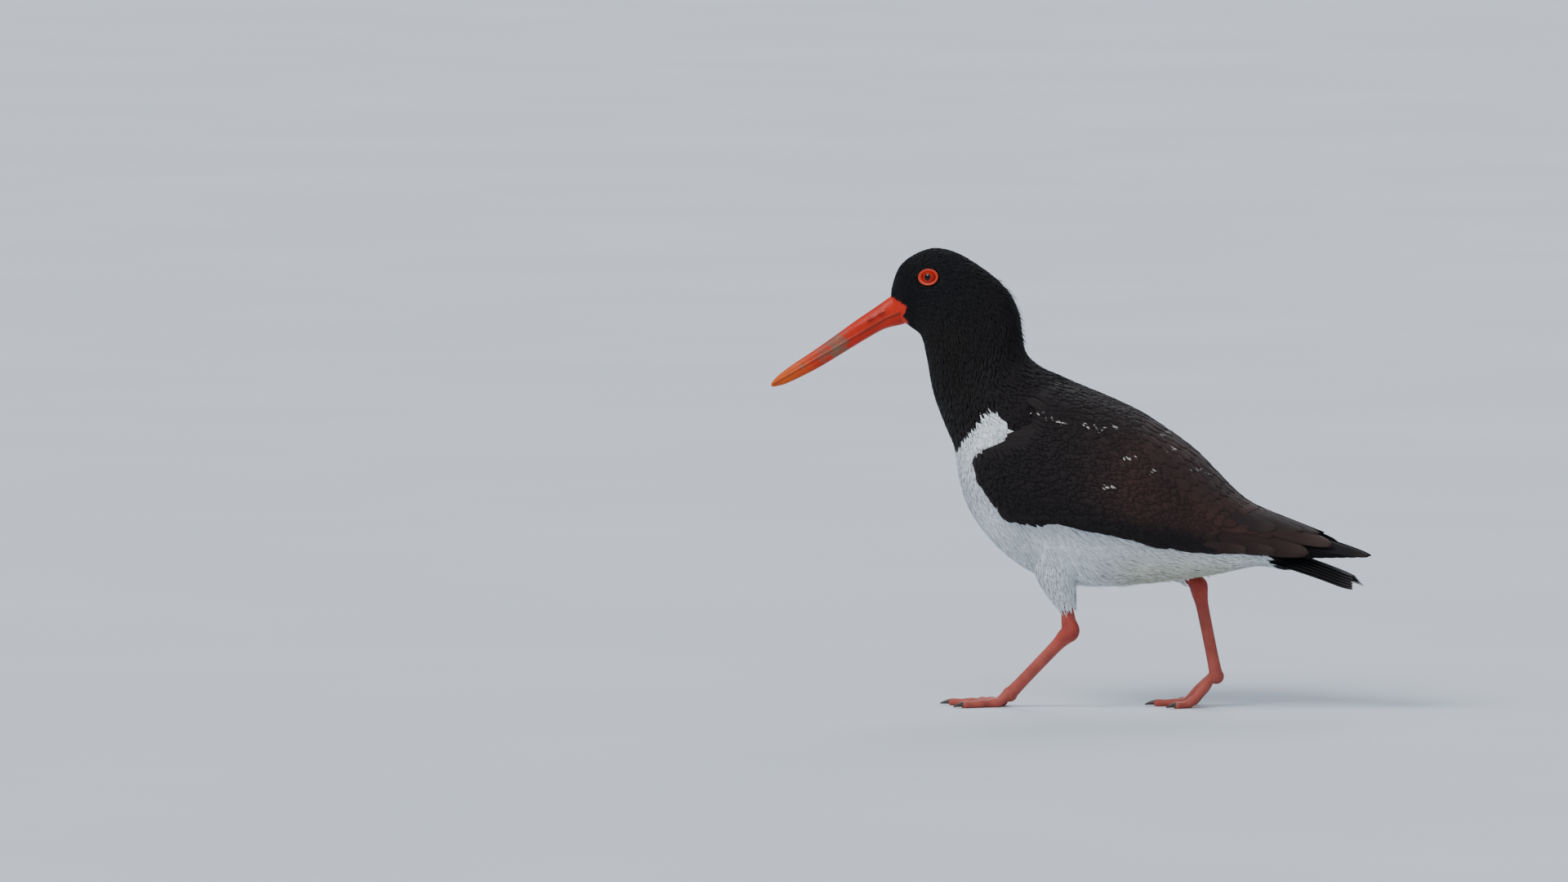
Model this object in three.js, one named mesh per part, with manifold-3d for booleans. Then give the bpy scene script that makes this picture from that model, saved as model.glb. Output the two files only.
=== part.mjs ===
// A life-size oystercatcher, striding with its head lowered, in millimetres.
// +Z is up, the bird faces -X, its left side is at -Y, and it stands on the plane z = 0.

import * as THREE from "three";
import { mergeVertices } from "three/addons/utils/BufferGeometryUtils.js";
import Module from "manifold-3d";

const wasm = await Module();
wasm.setup();

// Driving dimensions of the whole bird.
const GAP = 0.3; // clear space kept between two nodes that touch
const BILL_TIP = [-171.7, 178.2]; // x, z
const WING_TIP = [171.8, 86.8];
const EYE = [-78.2, 241.6]; // centre of the pupil in side view
const EYE_RADIUS = 5.4;
const LID_LONG = 5.7; // half length of the bare ring round the eye
const LID_TALL = 4.9;
const LID_ROLL = 0.95; // radius of the ring's own section
const TARSUS_LENGTH = 53;
const TARSUS_FRONT = 3.5; // half depth, fore and aft
const TARSUS_SIDE = 2.9; // half width
const HEEL_RADIUS = 5.3;
const TOE_MIDDLE = 34;
const TOE_OUTER = 28;
const TOE_INNER = 26;
const CLAW_LENGTH = 6.5;
const CLAW_RADIUS = 1.8; // at its root
const CLAW_POINT = 0.35;
const CLAW_HIGH = 2.2; // its root's middle above the floor
const CLAW_FALL = 1.3;
const WEB_REACH = 0.42; // share of two toes that the small web between them joins
const TOE_SPREAD = 0.66; // radians from the middle toe to each side toe
const TOE_RADIUS = 3.0;
const TOE_FLAT = 0.5; // how much of each toe's round underside is flattened by the floor

// Body sections from the bill's base to the root of the tail.
// Each has its back point (x, z), its belly point (x, z), its half width and where it is widest,
// as a share of the way from the belly to the back.
const BODY_SECTIONS = [
  { back: [-102.6, 229.2], belly: [-94, 214.2], half: 6.2, wide: 0.5 },
  { back: [-101.4, 237], belly: [-89, 211.2], half: 7.4, wide: 0.5 },
  { back: [-97.2, 247], belly: [-84.8, 207.6], half: 9.4, wide: 0.55 },
  { back: [-89, 253.6], belly: [-82.6, 202], half: 12.4, wide: 0.62 },
  { back: [-78, 257.4], belly: [-81.6, 196], half: 14.8, wide: 0.64 },
  { back: [-66, 255.3], belly: [-80.5, 190], half: 16.6, wide: 0.62 },
  { back: [-54, 249], belly: [-79.6, 184], half: 18.4, wide: 0.58 },
  { back: [-43, 241.2], belly: [-78.4, 178], half: 20.2, wide: 0.54 },
  { back: [-34, 231.6], belly: [-76.8, 172.4], half: 21.6, wide: 0.52 },
  { back: [-28.8, 219.5], belly: [-74.6, 166.4], half: 23, wide: 0.5 },
  { back: [-27.4, 208], belly: [-71.8, 159.8], half: 25.4, wide: 0.48 },
  { back: [-25, 198.4], belly: [-68.4, 152.3], half: 28.8, wide: 0.46 },
  { back: [-17, 191.2], belly: [-65, 145.2], half: 33.2, wide: 0.44 },
  { back: [-4, 185.6], belly: [-63.5, 136], half: 38, wide: 0.44 },
  { back: [9, 179], belly: [-61.5, 125], half: 42, wide: 0.44 },
  { back: [24, 171], belly: [-57, 112], half: 45, wide: 0.45 },
  { back: [39, 161.5], belly: [-48.5, 98.6], half: 46.5, wide: 0.46 },
  { back: [53, 150.5], belly: [-36, 85.6], half: 46.5, wide: 0.47 },
  { back: [66, 139], belly: [-19, 74.6], half: 45, wide: 0.48 },
  { back: [77, 128.6], belly: [0, 69.2], half: 42, wide: 0.48 },
  { back: [87, 120], belly: [21, 67.8], half: 37.5, wide: 0.48 },
  { back: [96, 112.5], belly: [43, 69.6], half: 31.5, wide: 0.48 },
  { back: [103.5, 106], belly: [65, 72.4], half: 24.5, wide: 0.48 },
  { back: [109, 100.5], belly: [87, 76], half: 18, wide: 0.48 },
  { back: [113, 97], belly: [108, 80.2], half: 12.5, wide: 0.48 },
];
const RING_SIDES = 26;
const VANE_THICK = 0.75; // a feather at its root
const VANE_TIP_THICK = 0.5;
const LAP_RISE = 0.82; // how far a feather's lower edge stands above its midline
const VANE_CAMBER = 0.3; // how far a feather's midline stands above its edges
const BODY_FULLNESS = 2.15; // superellipse exponent of a body section

// The folded wings as one smooth envelope over the body, with the same kind of section.
const ENVELOPE_SECTIONS = [
  { back: [-14, 187.6], belly: [-62, 140], half: 34, wide: 0.44 },
  { back: [-3, 184.6], belly: [-62.4, 131], half: 42.5, wide: 0.44 },
  { back: [9.5, 179.6], belly: [-60, 121], half: 47.5, wide: 0.44 },
  { back: [25, 173.4], belly: [-54, 108], half: 51, wide: 0.45 },
  { back: [42, 165.4], belly: [-44, 95], half: 53, wide: 0.46 },
  { back: [59, 154.6], belly: [-28, 84], half: 53, wide: 0.47 },
  { back: [73.5, 143.6], belly: [-8, 78], half: 51, wide: 0.48 },
  { back: [85.5, 131.6], belly: [14, 76], half: 47, wide: 0.48 },
  { back: [96, 121.6], belly: [38, 76], half: 41, wide: 0.46 },
  { back: [106, 115.2], belly: [62, 77], half: 34, wide: 0.44 },
  { back: [119, 110], belly: [86, 78.5], half: 27, wide: 0.42 },
  { back: [137, 103], belly: [112, 80.5], half: 20, wide: 0.4 },
  { back: [156, 95.4], belly: [138, 82], half: 13, wide: 0.4 },
  { back: WING_TIP, belly: [164, 83], half: 5, wide: 0.4 },
];

const LAST_SECTION = ENVELOPE_SECTIONS.length - 1;

// Outline in side view of the pad that the wing's feathers grow from, a little inside the wing.
const PAD_OUTLINE = [
  [-45, 141],
  [-42.6, 133],
  [-39, 125.6],
  [-34.4, 119.4],
  [-28, 112.6],
  [-21, 109.4],
  [14, 112.6],
  [30, 108],
  [52, 102.6],
  [72, 98],
  [86, 96.6],
  [100, 97.4],
  [118, 98],
  [128, 98],
  [132, 110],
  [60, 175],
  [12, 184],
  [-8, 176],
  [-18, 158],
  [-24, 152],
  [-35, 148.6],
  [-43, 145.4],
];

// Everything in side view that the wing's feathers may cover.
const REACH_OUTLINE = [
  [-47, 130],
  [-30, 108],
  [-20, 104],
  [60, 88],
  [100, 84],
  [180, 80],
  [180, 120],
  [60, 190],
  [-6, 190],
  [-20, 163],
  [-36, 152],
  [-47.8, 146],
];

const vec = (x, y, z) => new THREE.Vector3(x, y, z);
const clamp01 = (t) => Math.min(1, Math.max(0, t));
const smooth = (t) => clamp01(t) ** 2 * (3 - 2 * clamp01(t));

// A value of a list at a real-numbered place along it, on a Catmull-Rom spline.
function along(list, place) {
  const i = Math.min(list.length - 2, Math.floor(place));
  const t = place - i;
  const [a, b, c, d] = [i - 1, i, i + 1, i + 2].map(
    (k) => list[Math.min(list.length - 1, Math.max(0, k))],
  );
  return (
    b +
    0.5 * t * (c - a + t * (2 * a - 5 * b + 4 * c - d + t * (3 * (b - c) + d - a)))
  );
}

// One section as a ring of points, from the back round the left side to the belly and up again.
function sectionRing(section, sides, fullness) {
  const { back, belly, half, wide } = section;
  const ring = [];
  for (let i = 0; i < sides; i++) {
    const angle = (2 * Math.PI * i) / sides;
    const rise = Math.sign(Math.cos(angle)) * Math.abs(Math.cos(angle)) ** (2 / fullness);
    const side = Math.sign(Math.sin(angle)) * Math.abs(Math.sin(angle)) ** (2 / fullness);
    const share = rise > 0 ? wide + (1 - wide) * rise : wide * (1 + rise);
    ring.push(
      vec(
        belly[0] + (back[0] - belly[0]) * share,
        -half * side,
        belly[1] + (back[1] - belly[1]) * share,
      ),
    );
  }
  return ring;
}

// A closed surface through a list of rings of alike point counts, with flat ends.
function loft(rings) {
  const sides = rings[0].length;
  const points = rings.flat();
  const faces = [];
  for (let r = 0; r < rings.length - 1; r++) {
    for (let i = 0; i < sides; i++) {
      const a = r * sides + i;
      const b = r * sides + ((i + 1) % sides);
      faces.push(a, a + sides, b, b, a + sides, b + sides);
    }
  }
  const end = (rings.length - 1) * sides;
  for (let i = 1; i < sides - 1; i++) {
    faces.push(0, i, i + 1, end, end + i + 1, end + i);
  }
  return closed(points, faces);
}

// A geometry from points and faces, turned to face out.
function closed(points, faces) {
  let volume = 0;
  for (let f = 0; f < faces.length; f += 3) {
    const [a, b, c] = [points[faces[f]], points[faces[f + 1]], points[faces[f + 2]]];
    volume += a.dot(b.clone().cross(c));
  }
  const index = volume > 0 ? faces : faces.toReversed();
  return new THREE.BufferGeometry().setFromPoints(points).setIndex(index);
}

// Rings moved outwards by a distance, or by a function of each point, with both ends pushed on.
function grown(rings, distance) {
  const by = typeof distance === "function" ? distance : () => distance;
  const centres = rings.map((ring) =>
    ring.reduce((sum, p) => sum.add(p), vec(0, 0, 0)).divideScalar(ring.length),
  );
  return rings.map((ring, r) => {
    const ahead = centres[Math.min(rings.length - 1, r + 1)];
    const way = ahead.clone().sub(centres[Math.max(0, r - 1)]).normalize();
    const push = r === 0 ? -1 : r === rings.length - 1 ? 1 : 0;
    return ring.map((p, i) => {
      const next = rings[Math.min(rings.length - 1, r + 1)][i];
      const last = rings[Math.max(0, r - 1)][i];
      const round = ring[(i + 1) % ring.length]
        .clone()
        .sub(ring[(i + ring.length - 1) % ring.length]);
      const out = round.cross(next.clone().sub(last)).normalize();
      if (out.dot(p.clone().sub(centres[r])) < 0) out.negate();
      return p
        .clone()
        .addScaledVector(out, by(p))
        .addScaledVector(way, push * by(p));
    });
  });
}

// A geometry as a solid that can be joined and cut.
function solid(geometry) {
  const bare = geometry.clone();
  bare.deleteAttribute("normal");
  bare.deleteAttribute("uv");
  const merged = mergeVertices(bare, 1e-4);
  return new wasm.Manifold(
    new wasm.Mesh({
      numProp: 3,
      vertProperties: new Float32Array(merged.attributes.position.array),
      triVerts: new Uint32Array(merged.index.array),
    }),
  );
}

// The largest closed surface of a solid.
function largest(made) {
  const pieces = made.decompose();
  return pieces.reduce((a, b) => (b.volume() > a.volume() ? b : a));
}

function mesh(name, made, material) {
  const FINEST = 0.02; // smaller facets than this are joined up
  const data = largest(made.simplify(FINEST)).getMesh();
  const geometry = new THREE.BufferGeometry()
    .setAttribute("position", new THREE.BufferAttribute(data.vertProperties, 3))
    .setIndex(new THREE.BufferAttribute(data.triVerts, 1));
  geometry.computeVertexNormals();
  const node = new THREE.Mesh(geometry, material);
  node.name = name;
  return node;
}

// Everything on one side of a line of the side view, reaching far out.
function halfSpace(from, to, offset = 0) {
  const DEPTH = 400;
  const across = new THREE.Vector2(to[0] - from[0], to[1] - from[1]);
  const box = new THREE.BoxGeometry(2 * DEPTH, 2 * DEPTH, DEPTH);
  box.translate(0, 0, DEPTH / 2 + offset);
  box.rotateY(-across.angle());
  box.translate((from[0] + to[0]) / 2, 0, (from[1] + to[1]) / 2);
  return solid(box);
}

// An outline of the side view as a prism from one y to another.
function prism(outline, fromY, toY) {
  const shape = new THREE.Shape(outline.map(([x, z]) => new THREE.Vector2(x, z)));
  const block = new THREE.ExtrudeGeometry(shape, { depth: toY - fromY, bevelEnabled: false });
  block.rotateX(Math.PI / 2); // the outline's second number becomes z, and its depth runs to -y
  block.translate(0, toY, 0);
  return solid(block);
}

// A tube of oval section along a list of {at, front, side}, with its front axis kept near ahead.
function limb(stations, sides, ahead = vec(-1, 0, 0)) {
  const rings = stations.map((s, k) => {
    const next = stations[Math.min(stations.length - 1, k + 1)].at;
    const last = stations[Math.max(0, k - 1)].at;
    const way = next.clone().sub(last).normalize();
    const side = ahead.clone().cross(way).normalize();
    const front = way.clone().cross(side).normalize();
    return Array.from({ length: sides }, (_, i) => {
      const angle = (2 * Math.PI * (i + 0.5)) / sides;
      return s.at
        .clone()
        .addScaledVector(front, s.front * Math.cos(angle))
        .addScaledVector(side, s.side * Math.sin(angle));
    });
  });
  return rings;
}

const mirrored = (made) => made.mirror([0, 1, 0]);

const FLOOR_CUT = solid(new THREE.BoxGeometry(800, 400, 100).translate(0, 0, -50));

// The body, head and neck, modelled whole and parted with thin cuts.
const NECK_CUT = [
  [-84.5, 204],
  [-38, 238],
];
const BREAST_CUT = [
  [-65.5, 144.4],
  [-20, 194],
];
const BACK_CUT = [
  [-41, 168.6],
  [113, 98],
];
const bodyRings = BODY_SECTIONS.map((s) => sectionRing(s, RING_SIDES, BODY_FULLNESS));
const body = solid(loft(bodyRings));
const grownBody = solid(loft(grown(bodyRings, GAP)));

// Bill.
const BILL_STATIONS = [
  { top: [-98.6, 232.6], under: [-90.4, 217.4], half: 6.0 },
  { top: [-103, 229.4], under: [-95, 214.2], half: 5.9 },
  { top: [-112.4, 222.8], under: [-106, 211.2], half: 5.2 },
  { top: [-123, 215.6], under: [-117, 205.2], half: 4.6 },
  { top: [-136, 206.2], under: [-130.8, 196.8], half: 4.0 },
  { top: [-148, 197.8], under: [-143, 189.4], half: 3.5 },
  { top: [-158, 191.2], under: [-154, 183.6], half: 3.0 },
  { top: [-165.4, 185.8], under: [-162.6, 179.6], half: 2.3 },
  { top: [-169.6, 182], under: [-168, 178], half: 1.6 },
  { top: [-171.6, 179.4], under: [-171, 177.6], half: 0.9 },
];
const BILL_FULLNESS = 2.3;
const BILL_SIDES = 16;
const MOUTH_LINE = [BILL_TIP, [-93.5, 223.8]];
const billRings = BILL_STATIONS.map((s) =>
  sectionRing(
    { back: s.top, belly: s.under, half: s.half, wide: 0.48 },
    BILL_SIDES,
    BILL_FULLNESS,
  ),
);

function bill() {
  const NOSTRIL_LENGTH = 13;
  const NOSTRIL_HEIGHT = 1.2;
  const NOSTRIL_TILT = 30; // degrees from level
  const NOSTRIL_REACH = 14; // past both sides of the bill
  const NOSTRIL_DEEP = 1.6; // half of the wall left between the two slits
  const whole = solid(loft(billRings));
  const slit = new THREE.BoxGeometry(NOSTRIL_LENGTH, NOSTRIL_REACH, NOSTRIL_HEIGHT);
  const wall = new THREE.BoxGeometry(NOSTRIL_LENGTH + 2, 2 * NOSTRIL_DEEP, NOSTRIL_HEIGHT + 2);
  const nostrils = solid(slit)
    .subtract(solid(wall))
    .rotate([0, -NOSTRIL_TILT, 0])
    .translate([-110, 0, 218.4]);
  const upper = whole.intersect(halfSpace(...MOUTH_LINE, GAP / 2)).subtract(nostrils);
  const lower = whole.subtract(halfSpace(...MOUTH_LINE, -GAP / 2));
  return [
    mesh("bill_upper", upper, HORN),
    mesh("bill_lower", lower, HORN),
  ];
}

// Where a line across the bird at (x, z) first meets a surface from the left: y there.
function leftSurface(target, x, z) {
  const REACH = 200;
  const ray = new THREE.Raycaster(vec(x, -REACH, z), vec(0, 1, 0), 0, REACH);
  const hit = ray.intersectObject(target)[0];
  return hit ? hit.point.y : NaN;
}

// A frame on the left of the face: x to the rear, y up and z straight out of the face at the eye.
function eyeFrame() {
  const REACH = 4.5; // how far round the eye the lie of the face is taken
  const face = new THREE.Mesh(loft(bodyRings), new THREE.MeshBasicMaterial({ side: THREE.DoubleSide }));
  const at = (dx, dz) => {
    const [x, z] = [EYE[0] + dx, EYE[1] + dz];
    return vec(x, leftSurface(face, x, z), z);
  };
  const [rear, fore, top, low] = [at(REACH, 0), at(-REACH, 0), at(0, REACH), at(0, -REACH)];
  const out = top.clone().sub(low).cross(fore.clone().sub(rear)).normalize();
  if (out.y > 0) out.negate();
  const middle = rear.add(fore).add(top).add(low).divideScalar(4);
  const back = vec(0, 0, 1).cross(out).normalize();
  const up = out.clone().cross(back);
  return new THREE.Matrix4().makeBasis(back, up, out).setPosition(middle);
}

// Eyeball, the bare ring round it and the room both need, for the left side.
function eyeSolids() {
  const PROUD = 1.3; // how far the pupil stands out of the face
  const frame = eyeFrame();
  const ball = (radius) => {
    const sphere = new THREE.SphereGeometry(radius, 16, 12).rotateX(Math.PI / 2);
    return solid(sphere.translate(0, 0, PROUD - EYE_RADIUS).applyMatrix4(frame));
  };
  const ring = (roll) => {
    const TURNS = 18;
    const SIDES = 7;
    const points = [];
    const faces = [];
    for (let i = 0; i < TURNS; i++) {
      const turn = (2 * Math.PI * i) / TURNS;
      for (let k = 0; k < SIDES; k++) {
        const tilt = (2 * Math.PI * k) / SIDES;
        const out = roll * Math.cos(tilt) - LID_ROLL;
        const p = vec((LID_LONG + out) * Math.cos(turn), (LID_TALL + out) * Math.sin(turn), 0);
        points.push(p.setZ(roll * Math.sin(tilt) + 0.2).applyMatrix4(frame));
        const [a, b] = [i * SIDES + k, i * SIDES + ((k + 1) % SIDES)];
        const step = i === TURNS - 1 ? SIDES * (1 - TURNS) : SIDES;
        faces.push(a, a + step, b, b, a + step, b + step);
      }
    }
    return solid(closed(points, faces));
  };
  return {
    ball: ball(EYE_RADIUS),
    lid: ring(LID_ROLL).subtract(ball(EYE_RADIUS + GAP)),
    socket: ball(EYE_RADIUS + GAP).add(ring(LID_ROLL + GAP)),
  };
}

// A thin plate from rows of points on its upper face, with a thickness and an outward way for each.
function plate(rows, ways, thickness) {
  const across = rows[0].length;
  const count = rows.length * across;
  const top = rows.flat();
  const under = top.map((p, i) => {
    const row = Math.floor(i / across);
    return p.clone().addScaledVector(ways[row][i % across], -thickness(row / (rows.length - 1)));
  });
  const faces = [];
  const quad = (a, b, c, d) => faces.push(a, b, c, b, d, c);
  for (let r = 0; r < rows.length - 1; r++) {
    for (let i = 0; i < across - 1; i++) {
      const a = r * across + i;
      quad(a, a + 1, a + across, a + across + 1);
      quad(a + 1 + count, a + count, a + across + 1 + count, a + across + count);
    }
    const [first, last] = [r * across, (r + 1) * across - 1];
    quad(first + count, first, first + across + count, first + across);
    quad(last, last + count, last + across, last + across + count);
  }
  for (let i = 0; i < across - 1; i++) {
    const end = count - across + i;
    quad(i + 1, i, i + 1 + count, i + count);
    quad(end, end + 1, end + count, end + 1 + count);
  }
  return solid(closed([...top, ...under], faces));
}

// Width of a feather along its length, as a share of its widest: narrow root and a rounded end.
function vaneWidth(t, point) {
  const rise = 0.55 + 0.45 * smooth(t / 0.45);
  const round = Math.sqrt(Math.max(0, 1 - clamp01((t - point) / (1.02 - point)) ** 2));
  return rise * Math.max(0.2, round);
}

// How far along its length each row of a feather's points lies, closer together near its end.
const vaneSteps = (rows) =>
  Array.from({ length: rows + 1 }, (_, i) => 1 - (1 - i / rows) ** 1.35);
const vaneThickness = (t) => VANE_THICK - (VANE_THICK - VANE_TIP_THICK) * t;

// A straight feather between two points, with its flat across another way.
function straightVane({ root, tip, across, half, rows = 4, point = 0.7, sag = 0, columns }) {
  const way = tip.clone().sub(root);
  const side = across.clone().addScaledVector(way, -across.dot(way) / way.lengthSq()).normalize();
  const out = side.clone().cross(way).normalize();
  if (out.z < 0) out.negate();
  const steps = vaneSteps(rows);
  const points = steps.map((t) =>
    (columns ?? [-1, 0, 1]).map((a) =>
      root
        .clone()
        .addScaledVector(way, t)
        .addScaledVector(side, a * half * vaneWidth(t, point))
        .addScaledVector(out, VANE_CAMBER * (1 - a * a) + sag * 4 * t * (1 - t)),
    ),
  );
  return plate(points, points.map((row) => row.map(() => out)), vaneThickness);
}

// Tail: a short core behind the body that carries a fan of feathers, the middle pair on top.
const TAIL_PAIRS = 6;
const TAIL_CORE = [
  { back: [113.4, 95.6], belly: [109.6, 81.4], half: 11.6, wide: 0.4 },
  { back: [120, 92.4], belly: [116, 79.8], half: 11.4, wide: 0.4 },
  { back: [128, 87.6], belly: [125, 78.4], half: 10.4, wide: 0.4 },
  { back: [134, 83.8], belly: [132.6, 79.4], half: 7.4, wide: 0.4 },
];

// Room that the tail takes up, which the wings keep clear of.
const TAIL_ROOM = [
  { back: [108, 102], belly: [100, 74], half: 16, wide: 0.45 },
  { back: [124, 95.6], belly: [118, 71], half: 18, wide: 0.45 },
  { back: [140, 89], belly: [136, 68], half: 22, wide: 0.45 },
  { back: [154, 83.4], belly: [152, 65], half: 25, wide: 0.45 },
  { back: [168, 78], belly: [168, 62], half: 27, wide: 0.45 },
];
const tailRoom = solid(loft(TAIL_ROOM.map((s) => sectionRing(s, 16, 2.4))));

function tailSolid() {
  const HALF_WIDE = 4.7;
  const ROOT_FALL = 8.6; // how much lower the outermost feathers are than the middle pair
  const TIP_FALL = 6;
  const RIGHT_UNDER = 1.1; // the right side's feathers lie under the left side's
  let made = solid(loft(TAIL_CORE.map((s) => sectionRing(s, 16, 2.2))));
  for (let k = 0; k < TAIL_PAIRS; k++) {
    const f = k / (TAIL_PAIRS - 1);
    for (const side of [-1, 1]) {
      const lower = side > 0 ? RIGHT_UNDER : 0;
      made = made.add(
        straightVane({
          root: vec(114 + 3 * f, side * (2.6 + 5.4 * f), 92.4 - ROOT_FALL * f - lower),
          tip: vec(163 + 2 * f, side * (3.8 + 13.6 * f), 75.8 - TIP_FALL * f - 0.5 * lower),
          across: vec(0, side, -0.12 * f),
          half: HALF_WIDE,
          columns: [-1, 1],
          sag: 1.0,
        }),
      );
    }
  }
  return made.intersect(tailRoom).subtract(grownBody);
}

// A place on the envelope by its section number and the angle round from the back.
function envelopePoint(u, v) {
  const of = (pick) => along(ENVELOPE_SECTIONS.map(pick), Math.min(LAST_SECTION, Math.max(0, u)));
  const rise = Math.sign(Math.cos(v)) * Math.abs(Math.cos(v)) ** (2 / BODY_FULLNESS);
  const side = Math.sign(Math.sin(v)) * Math.abs(Math.sin(v)) ** (2 / BODY_FULLNESS);
  const wide = of((s) => s.wide);
  const share = rise > 0 ? wide + (1 - wide) * rise : wide * (1 + rise);
  const [bx, bz] = [of((s) => s.back[0]), of((s) => s.back[1])];
  const [vx, vz] = [of((s) => s.belly[0]), of((s) => s.belly[1])];
  return vec(vx + (bx - vx) * share, -of((s) => s.half) * side, vz + (bz - vz) * share);
}

// The lie of the envelope at a place: steps along and round it, and the way straight out.
function envelopeFrame(u, v) {
  const STEP = 0.02;
  const along1 = envelopePoint(u + STEP, v).sub(envelopePoint(u - STEP, v)).divideScalar(2 * STEP);
  const round = envelopePoint(u, v + STEP).sub(envelopePoint(u, v - STEP)).divideScalar(2 * STEP);
  const out = along1.clone().cross(round).normalize();
  if (out.y * Math.sin(v) > 0 || (Math.abs(out.y) < 0.05 && out.z * Math.cos(v) < 0)) out.negate();
  return { along: along1, round, out };
}

// The place on the envelope's left side that shows at (x, z) in side view.
function placeAt(x, z) {
  const FINE = 12;
  const line = (u) => {
    const of = (pick) => along(ENVELOPE_SECTIONS.map(pick), u);
    const [bx, bz] = [of((s) => s.back[0]), of((s) => s.back[1])];
    const [vx, vz] = [of((s) => s.belly[0]), of((s) => s.belly[1])];
    const long = Math.hypot(bx - vx, bz - vz);
    const off = ((x - vx) * (bz - vz) - (z - vz) * (bx - vx)) / long;
    const share = ((x - vx) * (bx - vx) + (z - vz) * (bz - vz)) / long ** 2;
    return { off, share, wide: of((s) => s.wide) };
  };
  let u = LAST_SECTION;
  for (let k = 1; k <= LAST_SECTION * FINE; k++) {
    const [a, b] = [line((k - 1) / FINE), line(k / FINE)];
    if (a.off >= 0 && b.off < 0) {
      u = (k - 1 + a.off / (a.off - b.off)) / FINE;
      break;
    }
  }
  const { share, wide } = line(u);
  const high = clamp01(share);
  const rise = high > wide ? (high - wide) / (1 - wide) : high / wide - 1;
  return [u, Math.acos(Math.sign(rise) * Math.abs(rise) ** (BODY_FULLNESS / 2))];
}

// A feather that lies along the envelope from one place to another. Its upper edge is tucked in
// under the next feather above it, and its lower edge lies out over the next one below.
function layVane({ root, tip, half, rows = 4, columns = [-1, 1], point = 0.6, tipLow = 0 }) {
  const ROOT_LOW = 3.7; // how far the root lies inside the envelope
  const roll = LAP_RISE / half; // tilt that lifts each lower edge clear of the next feather
  const points = [];
  const ways = [];
  for (const t of vaneSteps(rows)) {
    const [u, v] = [root[0] + (tip[0] - root[0]) * t, root[1] + (tip[1] - root[1]) * t];
    const lie = envelopeFrame(u, v);
    const way = lie.along
      .clone()
      .multiplyScalar(tip[0] - root[0])
      .addScaledVector(lie.round, tip[1] - root[1])
      .normalize();
    const side = lie.out.clone().cross(way);
    if (side.dot(lie.round) < 0) side.negate();
    const [aa, ab, bb] = [
      lie.along.lengthSq(),
      lie.along.dot(lie.round),
      lie.round.lengthSq(),
    ];
    const [sa, sb] = [side.dot(lie.along), side.dot(lie.round)];
    const all = aa * bb - ab * ab;
    const [du, dv] = [(sa * bb - sb * ab) / all, (sb * aa - sa * ab) / all];
    const low = -ROOT_LOW + (ROOT_LOW - tipLow) * t;
    const width = half * vaneWidth(t, point);
    const row = columns.map((a) => {
      const off = low + VANE_CAMBER * (1 - a * a) + roll * a * width;
      return envelopePoint(u + du * a * width, v + dv * a * width).addScaledVector(lie.out, off);
    });
    points.push(row);
    ways.push(row.map(() => lie.out));
  }
  return plate(points, ways, vaneThickness);
}

// A place a share of the way along a run of points of the side view.
function onRun(run, share) {
  const place = share * (run.length - 1);
  const i = Math.min(run.length - 2, Math.floor(place));
  const t = place - i;
  return [0, 1].map((k) => run[i][k] + (run[i + 1][k] - run[i][k]) * t);
}

// Rows of wing feathers in side view: where their roots start, where their ends lie, how many
// there are and their half width. They run from the back down to the lower edge.
const WING_ROWS = [
  {
    roots: [[-40, 146], [-44, 134], [-35, 117.6]],
    ends: [[-12, 152], [-16, 132], [-12.6, 106.4]],
    count: 5,
    half: 5.6,
  },
  {
    roots: [[-20, 160], [-24, 138], [-19, 117]],
    ends: [[8, 162], [8, 136], [13, 107.4]],
    count: 6,
    half: 5.8,
  },
  {
    roots: [[2, 168], [-2, 142], [1, 115]],
    ends: [[33, 160], [34, 134], [39, 100.6]],
    count: 7,
    half: 5.6,
  },
  {
    roots: [[25, 162], [22, 138], [27, 113]],
    ends: [[58, 146], [60, 122], [67, 93.8]],
    count: 7,
    half: 5.4,
  },
  {
    roots: [[50, 148], [48, 128], [54, 107]],
    ends: [[84, 128], [88, 110], [95, 90.6]],
    count: 6,
    half: 4.8,
  },
];

// Feathers of the shoulder and the innermost of the wing, by section and angle from the back.
const SCAPULARS = [
  { root: [1.9, 0.3], tip: [4.5, 0.3] },
  { root: [2.6, 0.62], tip: [5.1, 0.62] },
  { root: [4.0, 0.3], tip: [6.6, 0.3] },
  { root: [4.6, 0.62], tip: [7.2, 0.64] },
  { root: [6.0, 0.3], tip: [8.8, 0.34] },
  { root: [6.6, 0.66], tip: [9.4, 0.66] },
  { root: [8.0, 0.36], tip: [10.9, 0.5] },
];
const TERTIALS = [
  { root: [62, 110], end: [121, 91], half: 5.6 },
  { root: [68, 118], end: [139.4, 90], half: 6.4 },
  { root: [76, 126], end: [151.2, 94.6], half: 6.4 },
];
const PRIMARIES = 4;

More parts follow.
